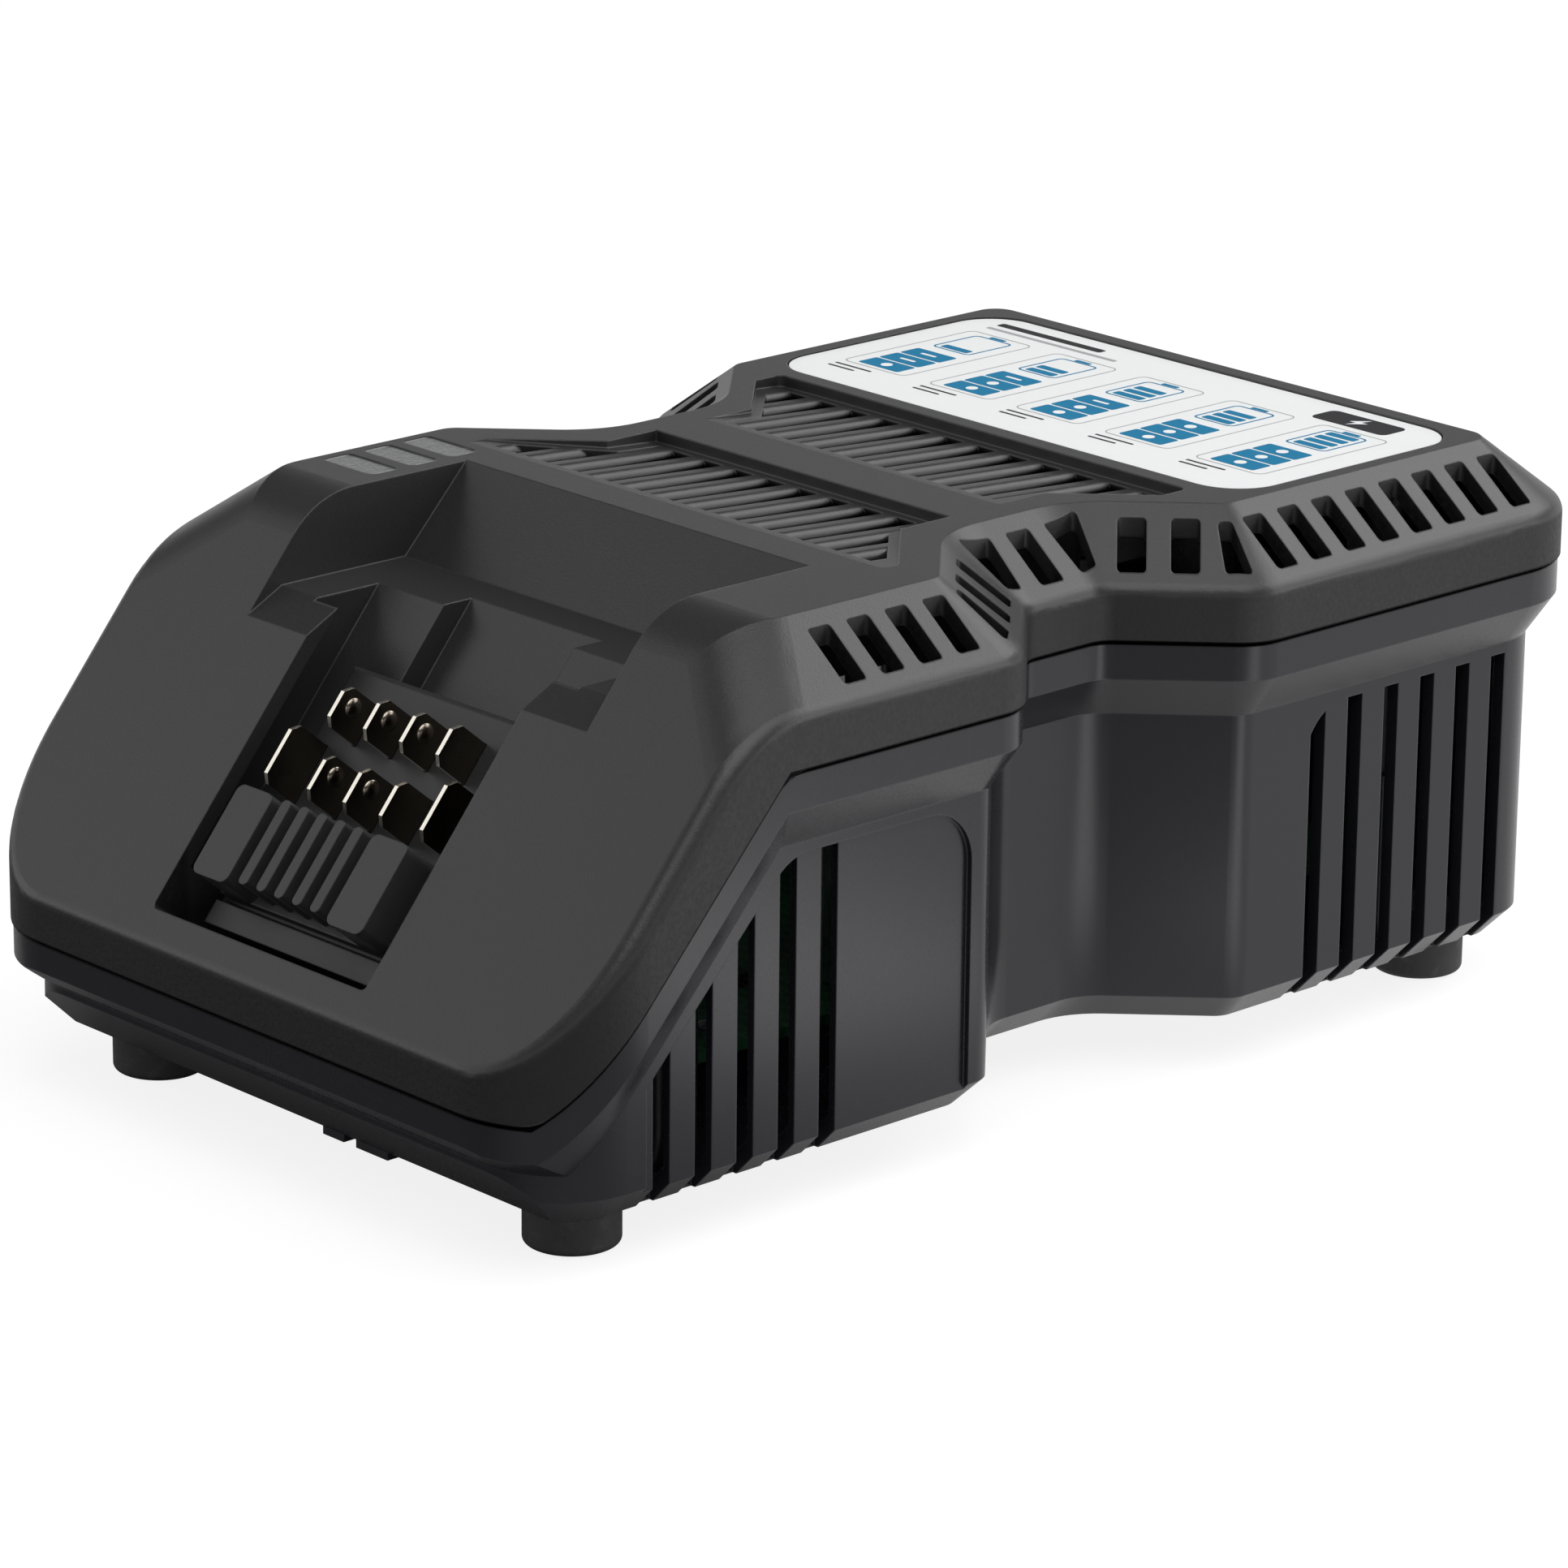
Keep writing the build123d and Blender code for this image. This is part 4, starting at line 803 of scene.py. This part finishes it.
# ------------------------------------------------------------------ contacts
class CHARGER_OT_contacts(bpy.types.Operator):
    """Finishes the blades and their block, and adds the dimples on the blades"""

    bl_idname = "charger.contacts"
    bl_label = "Contacts"

    # Blades that have no dimple: the long ones, and the last one of each row.
    plain = ("power_blade_1", "power_blade_2", "rear_blade_4", "signal_blade_3")
    # How far a dimple keeps from the blade's back and from its tip, and how deep its rim is sunk.
    from_back = 0.9
    from_tip = 1.6
    sunk = 0.1

    def execute(self, context):
        look = context.scene.charger_contacts
        metal = bright_metal("blade_metal", look.metal, 0.2, look.tarnish)
        # Painted shade: the blades' side faces are painted dark, mottled with stain; tips and
        # edges keep the bright metal.
        flats = metal.facing()[0].unsigned().between(0.3, 0.7)
        stain = metal.tint(
            metal.mottle(3.0, 3.0), look.tarnish, tuple(c * 1.6 for c in look.tarnish)
        )
        metal.set("Base Color", metal.tint(flats * 0.9, look.metal, stain))
        blades = [name for name in NODES if "_blade_" in name]
        dress(metal, *blades, "fuse_clips")
        block = moulded("block_plastic", (0.018, 0.018, 0.019), 0.42, 0.4, 0.012)
        dress(block, "terminal_block")
        comb = moulded("comb_plastic", (0.028, 0.028, 0.029), 0.45, 0.3, 0.015, edge=0.3)
        dress(comb, "contact_comb")
        mesh = bmesh.new()
        for name in blades:
            if name not in self.plain:
                self.dimple(mesh, name, look.dimple)
        piece("blade_dimples", mesh, [metal], smooth=True)
        return {"FINISHED"}

    def dimple(self, mesh, name, radius, rise=0.8, rings=5, steps=24):
        """A shallow dome pressed out of a blade's right face, near its back edge."""
        corners = [v.co / MM - RAMP_FOOT for v in NODES[name].data.vertices]
        back = max(c.dot(RAMP_V) for c in corners)
        tip = max(c.dot(RAMP_W) for c in corners)
        face_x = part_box(name)[1].x / MM
        v = back - radius - self.from_back
        w = tip - radius - self.from_tip
        centre = RAMP_FOOT + RAMP_V * v + RAMP_W * w
        loops = []
        for n in range(rings):
            angle = n / rings * math.pi / 2
            reach = radius * math.cos(angle)
            loop = []
            for s in range(steps):
                turn = FULL_TURN * s / steps
                at = centre + RAMP_V * reach * math.cos(turn) + RAMP_W * reach * math.sin(turn)
                at.x = face_x + rise * math.sin(angle) - self.sunk
                loop.append(mesh.verts.new(at * MM))
            loops.append(loop)
        centre.x = face_x + rise - self.sunk
        top = mesh.verts.new(centre * MM)
        mesh.faces.new(loops[0])
        for s in range(steps):
            t = (s + 1) % steps
            for near, far in zip(loops, loops[1:]):
                mesh.faces.new((near[s], near[t], far[t], far[s]))
            mesh.faces.new((loops[-1][s], loops[-1][t], top))


# ------------------------------------------------------------------ feet
class CHARGER_OT_feet(bpy.types.Operator):
    """Finishes the rubber feet"""

    bl_idname = "charger.feet"
    bl_label = "Feet"

    def execute(self, context):
        rubber = moulded("foot_rubber", (0.034, 0.034, 0.034), 0.62, 0.5, 0.05)
        dust = rubber.mottle(2.5, 4.0).between(0.5, 0.8)
        rubber.set("Base Color", rubber.tint(dust, rubber.colour, rubber.shade(1.9)))
        dress(rubber, *[f"rubber_foot_{n}" for n in range(1, 5)])
        return {"FINISHED"}


# ------------------------------------------------------------------ fan
class CHARGER_OT_fan(bpy.types.Operator):
    """Finishes the cooling fan"""

    bl_idname = "charger.fan"
    bl_label = "Cooling fan"

    def execute(self, context):
        plastic = moulded("fan_plastic", (0.014, 0.014, 0.015), 0.45, 0.6, 0.01)
        dress(plastic, "fan_frame", "fan_rotor")
        dress(copper_wire("winding_copper", 0.45), "fan_stator", "choke_coil")
        return {"FINISHED"}


def copper_wire(name, pitch):
    """Enamelled wire wound in close turns pitch millimetres apart."""
    finish = Finish(name, (0.6, 0.25, 0.1), 0.28, metallic=1.0)
    height = finish.axes(finish.place())[2]
    turns = (height * (FULL_TURN / (pitch * MM))).maths("SINE") * 0.5 + 0.5
    # Painted shade darkens the grooves between the turns, and a painted highlight lightens their
    # crests.
    finish.set("Base Color", finish.tint(turns, finish.shade(0.45), finish.shade(1.1)))
    finish.set("Roughness", 0.42 - turns * 0.16)
    finish.relief(turns, 0.1)
    return finish


# ------------------------------------------------------------------ power parts
class CHARGER_OT_power(bpy.types.Operator):
    """Finishes the boards and the parts that stand on them"""

    bl_idname = "charger.power"
    bl_label = "Power parts"

    def execute(self, context):
        self.boards()
        self.coil()
        self.capacitors()
        self.fuse()
        ferrite = moulded("ferrite", (0.055, 0.055, 0.06), 0.6, 1.0, 0.04, speckle=0.3)
        dress(ferrite, "transformer_core")
        sink = bright_metal("sink_aluminium", (0.72, 0.72, 0.74), 0.32, (0.5, 0.5, 0.52))
        dress(sink, "heat_sink_left", "heat_sink_right")
        epoxy = moulded("chip_epoxy", (0.02, 0.02, 0.021), 0.5, 0.25, 0.02)
        dress(epoxy, "power_transistors", "control_chip")
        return {"FINISHED"}

    def coil(self, wrap=6.5):
        """Yellow tape round the transformer's coil, with its edges wrap millimetres apart."""
        tape = Finish("coil_tape", (0.72, 0.56, 0.06), 0.35)
        height = tape.axes(tape.place())[2]
        wraps = (height * (FULL_TURN / (wrap * MM))).maths("SINE").between(0.92, 1.0)
        tape.set("Base Color", tape.tint(wraps, tape.colour, tape.shade(0.6)))
        tape.relief(wraps + tape.mottle(2.0) * 0.3, 0.05, 0.2)
        dress(tape, "transformer_coil")

    def fuse(self, half_glass=5.9, blend=0.1):
        """A glass tube that is clear for half_glass each way, between metal caps."""
        glass = Finish("fuse_glass", (0.85, 0.87, 0.86), 0.08)
        glass.set("Transmission Weight", 0.85)
        glass.set("Roughness", 0.05 + glass.mottle(2.0) * 0.08)
        along = glass.axes(glass.place())[1]
        low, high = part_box("fuse")
        from_middle = (along - (low.y + high.y) / 2).unsigned()
        caps = from_middle.past(half_glass - blend, half_glass + blend)
        glass.set("Base Color", glass.tint(caps, glass.colour, (0.7, 0.66, 0.55)))
        glass.set("Metallic", caps)
        dress(glass, "fuse")

    def boards(self):
        """Green laminate with copper runs under the lacquer."""
        green = Finish("board_green", (0.015, 0.08, 0.035), 0.3)
        runs = green.node(
            "ShaderNodeTexBrick",
            {"offset": 0.37, "squash": 0.6},
            {
                "Vector": green.place(),
                "Scale": 1 / (9.0 * MM),
                "Mortar Size": 0.06,
                "Brick Width": 0.9,
                "Row Height": 0.31,
            },
            output="Fac",
        )
        weave = green.mottle(0.8)
        lacquer = green.tint(runs, green.colour, green.shade(1.7))
        green.set("Base Color", green.tint(weave * 0.3, lacquer, green.shade(0.6)))
        green.relief(runs, 0.03, 0.1)
        dress(green, "main_board", "contact_board", "light_board")

    def capacitors(self):
        """Dark sleeves with a pale stripe, and bare metal tops."""
        sleeve = Finish("capacitor_sleeve", (0.012, 0.016, 0.045), 0.25)
        up = sleeve.facing()[2].between(0.7, 0.9)
        side = sleeve.facing()[0].between(0.86, 0.9)
        cloth = sleeve.tint(side, sleeve.colour, (0.5, 0.5, 0.5))
        sleeve.set("Base Color", sleeve.tint(up, cloth, (0.7, 0.7, 0.72)))
        sleeve.set("Metallic", up)
        sleeve.relief(sleeve.mottle(1.5), 0.02, 0.2)
        dress(sleeve, "bulk_capacitor", "output_capacitors")


# ------------------------------------------------------------------ panel and registration
PIECES = (
    CHARGER_OT_stage,
    CHARGER_OT_case,
    CHARGER_OT_label,
    CHARGER_OT_windows,
    CHARGER_OT_contacts,
    CHARGER_OT_feet,
    CHARGER_OT_fan,
    CHARGER_OT_power,
)


class CHARGER_PT_panel(bpy.types.Panel):
    """Lists the charger's pieces in the sidebar"""

    bl_idname = "CHARGER_PT_panel"
    bl_label = "Charger"
    bl_space_type = "VIEW_3D"
    bl_region_type = "UI"
    bl_category = "Charger"

    def draw(self, context):
        for name, group in LOOKS.items():
            box = self.layout.box()
            for field in group.__annotations__:
                box.prop(getattr(context.scene, name), field)
        for operator in PIECES:
            self.layout.operator(operator.bl_idname)


CLASSES = (*LOOKS.values(), *PIECES, CHARGER_PT_panel)


def register():
    """Registers the classes and hangs the settings on the scene."""
    for item in CLASSES:
        bpy.utils.register_class(item)
    for name, group in LOOKS.items():
        setattr(bpy.types.Scene, name, bpy.props.PointerProperty(type=group))


def unregister():
    """Takes the settings and the classes away again."""
    for name in LOOKS:
        delattr(bpy.types.Scene, name)
    for item in reversed(CLASSES):
        bpy.utils.unregister_class(item)


def main():
    """Builds every piece in order."""
    register()
    bpy.ops.charger.stage()
    bpy.ops.charger.case()
    bpy.ops.charger.label()
    bpy.ops.charger.windows()
    bpy.ops.charger.contacts()
    bpy.ops.charger.feet()
    bpy.ops.charger.fan()
    bpy.ops.charger.power()


if __name__ == "__main__":
    main()
